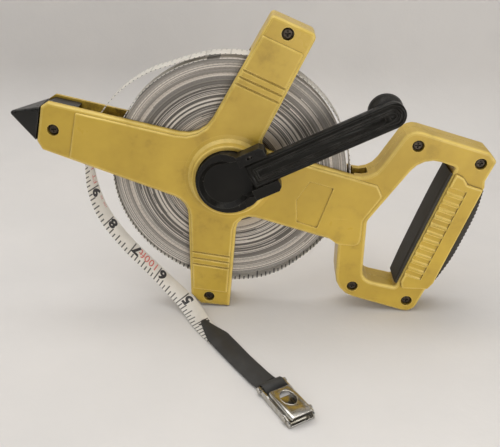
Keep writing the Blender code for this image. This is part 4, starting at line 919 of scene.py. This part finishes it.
def makeRoll(look, wander):
    tree = bpy.data.node_groups.new("tapeSpiral", "GeometryNodeTree")

    def addSocket(label, kind, way="INPUT"):
        return tree.interface.new_socket(name=label, in_out=way, socket_type="NodeSocket" + kind).identifier

    addSocket("Geometry", "Geometry")
    sockets = {label: addSocket(label, "Int" if isinstance(value, int) else "Float")
               for label, value in look.items()}
    sockets["Coat"] = addSocket("Coat", "Material")
    addSocket("Geometry", "Geometry", "OUTPUT")
    given = wires(tree, "NodeGroupInput")
    spiral = wire(tree, "GeometryNodeCurveSpiral", 0, {
        "Resolution": given["Steps"], "Rotations": given["Turns"], "Start Radius": given["Inner Radius"],
        "End Radius": given["Outer Radius"], "Height": 0.0})
    place = wire(tree, "GeometryNodeInputPosition")
    radius = wire(tree, "ShaderNodeVectorMath", "Value", (place,), operation="LENGTH")

    def ripple(scale, detail):
        inputs = {"W": radius * scale + given["Seed"], "Scale": 1.0, "Detail": detail}
        return wire(tree, "ShaderNodeTexNoise", 0, inputs, noise_dimensions="1D")

    slow = wire(tree, "ShaderNodeTexNoise", 0, wander["slow"])
    mixed = ripple(*wander["coarse"]) * wander["coarseShare"]
    mixed = mixed + ripple(*wander["single"]) * wander["singleShare"]
    mixed = mixed + slow * wander["slowShare"] - wander["middle"]
    aside = mixed * radius.spread(*wander["fade"], kind="LINEAR") * given["Wander"]
    limited = {"Value": aside, "Min": -wander["limit"], "Max": wander["limit"]}
    shift = wire(tree, "ShaderNodeCombineXYZ", 0, {"Z": wire(tree, "ShaderNodeClamp", 0, limited)})
    line = wire(tree, "GeometryNodeSetPosition", 0, {"Geometry": spiral, "Offset": shift})
    line = wire(tree, "GeometryNodeSetCurveNormal", 0, {"Curve": line}, mode="Z_UP")
    along = wires(tree, "GeometryNodeSplineParameter")
    for label, value in (("run", along["Length"]), ("turn", along["Factor"] * given["Turns"])):
        stored = {"Geometry": line, "Name": label, "Value": value}
        line = wire(tree, "GeometryNodeStoreNamedAttribute", 0, stored, data_type="FLOAT", domain="POINT")
    profile = wire(tree, "GeometryNodeCurvePrimitiveQuadrilateral", 0, {
        "Width": given["Thickness"], "Height": given["Width"]})
    solid = wire(tree, "GeometryNodeCurveToMesh", 0, {
        "Curve": line, "Profile Curve": profile, "Fill Caps": True})
    solid = wire(tree, "GeometryNodeTransform", 0, {
        "Geometry": solid, "Rotation": (math.radians(90), 0, 0), "Translation": rowPlace(0, 0, 0)})
    solid = wire(tree, "GeometryNodeRealizeInstances", 0, (solid,))
    coated = wire(tree, "GeometryNodeSetMaterial", 0, {"Geometry": solid, "Material": given["Coat"]})
    addNode(tree, "NodeGroupOutput", {"Geometry": coated})

    holder = linkObject("rollBuilder", bpy.data.meshes.new("rollBuilder"))
    modifier = holder.modifiers.new("spiral", "NODES")
    modifier.node_group = tree
    for label, value in look.items():
        modifier[sockets[label]] = value
    modifier[sockets["Coat"]] = rollMaterial(rollLook)
    depsgraph = bpy.context.evaluated_depsgraph_get()
    mesh = bpy.data.meshes.new_from_object(holder.evaluated_get(depsgraph), depsgraph=depsgraph)
    bpy.data.objects.remove(holder)
    return linkObject("woundRoll", mesh)


# Each turn's edge has its own tone, with painted shade in the gaps where the turns lie loose and on the inner
# turns near the drum, and the printed marks show along it as faint dashes. A gap's row: steps per turn, seed,
# share of the turns and softness.
rollLook = dict(
    pale=(0.9, 0.845, 0.77), grey=(0.56, 0.5, 0.435), toneShares=(0.55, 0.45), toneEnds=(0.25, 0.75),
    alongScale=3.1, driftShare=0.7, gapShadeColour=(0.05, 0.042, 0.034), looseEnds=(0.056, 0.07, 0.9, 0.72),
    fine=(1.0, 0.37, 0.4, 0.1), broad=(0.5, 40.2, 0.24, 0.1), thin=(0.62, 71.6, 0.34, 0.12),
    thinEnds=(0.05, 0.066, 0.0, 0.8), innerShade=(0.4, 0.3, 0.17), innerShadeEnds=(0.046, 0.033, 0.0, 0.55),
    speckColour=(0.26, 0.22, 0.175), speckMix=0.3, speckScale=420.0, speckEnds=(0.55, 0.75),
    tickColour=(0.12, 0.105, 0.095), tickMix=0.16, tickShare=0.3, tickFront=0.0035, ticksPerInch=8,
    tickEnds=(0.052, 0.064, 0.25, 1.0), roughEnds=(0.3, 0.7, 0.5, 0.65),
    grainScale=1600.0, bump=(0.3, 0.00006))


def rollMaterial(look):
    material, tree, shader = newMaterial("rollCoat")
    run, turn = [wire(tree, "ShaderNodeAttribute", "Fac", attribute_name=label, attribute_type="GEOMETRY")
                 for label in ("run", "turn")]
    middle = rowPlace(0, 0, 0)
    parts = wires(tree, "ShaderNodeSeparateXYZ", (wire(tree, "ShaderNodeTexCoord", "Object"),))
    flat = wire(tree, "ShaderNodeCombineXYZ", 0, {"X": parts["X"], "Z": parts["Z"]})
    pair = (flat, (middle.x, 0, middle.z))
    radius = wire(tree, "ShaderNodeVectorMath", "Value", pair, operation="DISTANCE")
    inputs = {"W": run * look["alongScale"], "Scale": 1.0, "Detail": 3.0}
    along = wire(tree, "ShaderNodeTexNoise", 0, inputs, noise_dimensions="1D")
    drift = (along - 0.5) * look["driftShare"]

    def perTurn(scale, seed):
        step = (turn * scale + seed).maths("FLOOR")
        return wire(tree, "ShaderNodeTexWhiteNoise", "Value", {"W": step}, noise_dimensions="1D")

    def gapMask(scale, seed, share, softness):
        return (perTurn(scale, seed) + drift).spread(share, share - softness)

    tone = perTurn(*look["fine"][:2]) * look["toneShares"][0] + along * look["toneShares"][1]
    thin = gapMask(*look["thin"]) * radius.spread(*look["thinEnds"])
    gap = gapMask(*look["fine"]).maths("MAXIMUM", gapMask(*look["broad"])).maths("MAXIMUM", thin)
    speck = noiseValue(tree, look["speckScale"], roughness=0.7).spread(*look["speckEnds"])
    share = (run * (look["ticksPerInch"] * 1000 / inch)).maths("FRACT")
    tick = share.maths("LESS_THAN", look["tickShare"]) * parts["Y"].maths("LESS_THAN", look["tickFront"])
    colour = tone.spread(*look["toneEnds"]).mix(look["pale"], look["grey"])
    # Inner turns near the drum turn brownish: painted shade
    colour = radius.spread(*look["innerShadeEnds"]).mix(colour, look["innerShade"])
    # Gaps between turns painted dark: painted shade
    colour = (gap * radius.spread(*look["looseEnds"])).mix(colour, look["gapShadeColour"])
    colour = layered(colour, look, [
        (speck, "speck", "speck"), (tick * radius.spread(*look["tickEnds"]), "tick", "tick")])
    values = {"Base Color": colour, "Roughness": tone.spread(*look["roughEnds"])}
    feedShader(shader, values, noiseValue(tree, look["grainScale"], detail=2.0), look)
    return material


woundRoll = makeRoll(rollSettings, wanderSettings)
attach(woundRoll, "reel")
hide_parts("tape_roll")
print("roll made", len(woundRoll.data.polygons))

# Finishes on the solid pieces. The other pins are dark steel, and the rest are screws.
finishes = [
    (yellowPlastic, "front_shell rear_shell"), (spikePlastic, "ground_spike"), (drumPlastic, "reel_drum"),
    (blackRubber, "finger_grip palm_grip"), (blackPlastic, "crank_hub rear_cap crank_arm crank_knob"),
    (nickelPlate, "hook_body hook_claw hook_strap_pin hook_claw_pin"), (strapVinyl, "tape_strap"),
    (whiteTape, "free_tape tape_roll"),
]
finishOf = {name: material for material, names in finishes for name in names.split()}
for name, thing in nodes.items():
    for slot in thing.material_slots:
        slot.material = finishOf.get(name, darkSteel if name.endswith("_pin") else brownedScrew)

route = [tuple(rowPlace(*place[1])) for place in freeFrames]
freeLength / 1000
print("finishes set")

# Floor and wall in one sweep, in metres. The far side is clear, so that it never hides the object from behind
floorLook = dict(
    colour=(0.74, 0.715, 0.69), otherTone=(0.7, 0.68, 0.66), toneScale=6.0, toneEnds=(0.3, 0.7),
    roughness=0.9, specular=0.15, grainScale=120.0, bump=(0.25, 0.001),
    front=-1.2, back=0.26, bend=0.09, wallY=0.36, wallTop=1.2, halfWidth=1.6, bendSteps=8)


def floorMaterial(look):
    material, tree, shader = newMaterial("paleFloor")
    blotch = noiseValue(tree, look["toneScale"], roughness=0.6).spread(*look["toneEnds"])
    values = {"Base Color": blotch.mix(look["colour"], look["otherTone"]), "Roughness": look["roughness"],
              "Specular IOR Level": look["specular"]}
    feedShader(shader, values, noiseValue(tree, look["grainScale"], detail=5.0, roughness=0.6), look)
    backface = wire(tree, "ShaderNodeNewGeometry", "Backfacing")
    clear = wire(tree, "ShaderNodeBsdfTransparent")
    either = wire(tree, "ShaderNodeMixShader", 0, (backface, Wire(tree, shader.outputs[0]), clear))
    feed(tree.nodes["Material Output"].inputs["Surface"], either)
    return material


def makeBackdrop(look):
    back, bend = look["back"], look["bend"]
    profile = [(look["front"], 0.0), (back, 0.0)]
    for step in range(1, look["bendSteps"] + 1):
        angle = math.pi / 2 * step / look["bendSteps"]
        profile.append((back + bend * math.sin(angle), bend - bend * math.cos(angle)))
    profile.append((look["wallY"], look["wallTop"]))
    builder = bmesh.new()
    left, right = [[builder.verts.new((side, y, z)) for y, z in profile]
                   for side in (-look["halfWidth"], look["halfWidth"])]
    for index in range(len(profile) - 1):
        builder.faces.new((left[index], right[index], right[index + 1], left[index + 1]))
    return linkMesh("backdrop", builder, [floorMaterial(look)], outwards=False)


backdrop = makeBackdrop(floorLook)

# Soft lamps aimed at one target: place in metres, size, power and tint
lamps = {
    "overhead": ((-0.15, -0.1, 1.1), 1.1, 7.6, (1.0, 0.985, 0.965)),
    "behindAbove": ((0.0, 0.5, 1.0), 0.9, 6.4, (1.0, 0.99, 0.975)),
    "leftAbove": ((-0.9, -0.2, 0.9), 0.7, 2.2, (1.0, 0.99, 0.98)),
    "lowRight": ((0.4, -0.45, 0.08), 0.35, 1.8, (1.0, 0.985, 0.96)),
    "lowFront": ((0.05, -0.5, 0.08), 0.35, 0.7, (1.0, 0.985, 0.96)),
}
lampTarget = Vector((0.0, 0.0, 0.06))
for name, (spot, size, power, tint) in lamps.items():
    data = bpy.data.lights.new(name, "AREA")
    data.size = size
    data.energy = power
    data.color = tint
    lamp = linkObject(name, data)
    lamp.location = spot
    lamp.rotation_euler = (lampTarget - Vector(spot)).to_track_quat("-Z", "Y").to_euler()
    lamp.visible_camera = False

world = bpy.data.worlds.new("studio")
bpy.context.scene.world = world
world.use_nodes = True
background = world.node_tree.nodes["Background"]
feed(background.inputs["Color"], (0.9, 0.92, 0.95))
feed(background.inputs["Strength"], 0.1)
bpy.context.scene.view_settings.view_transform = "Standard"
print("light set")
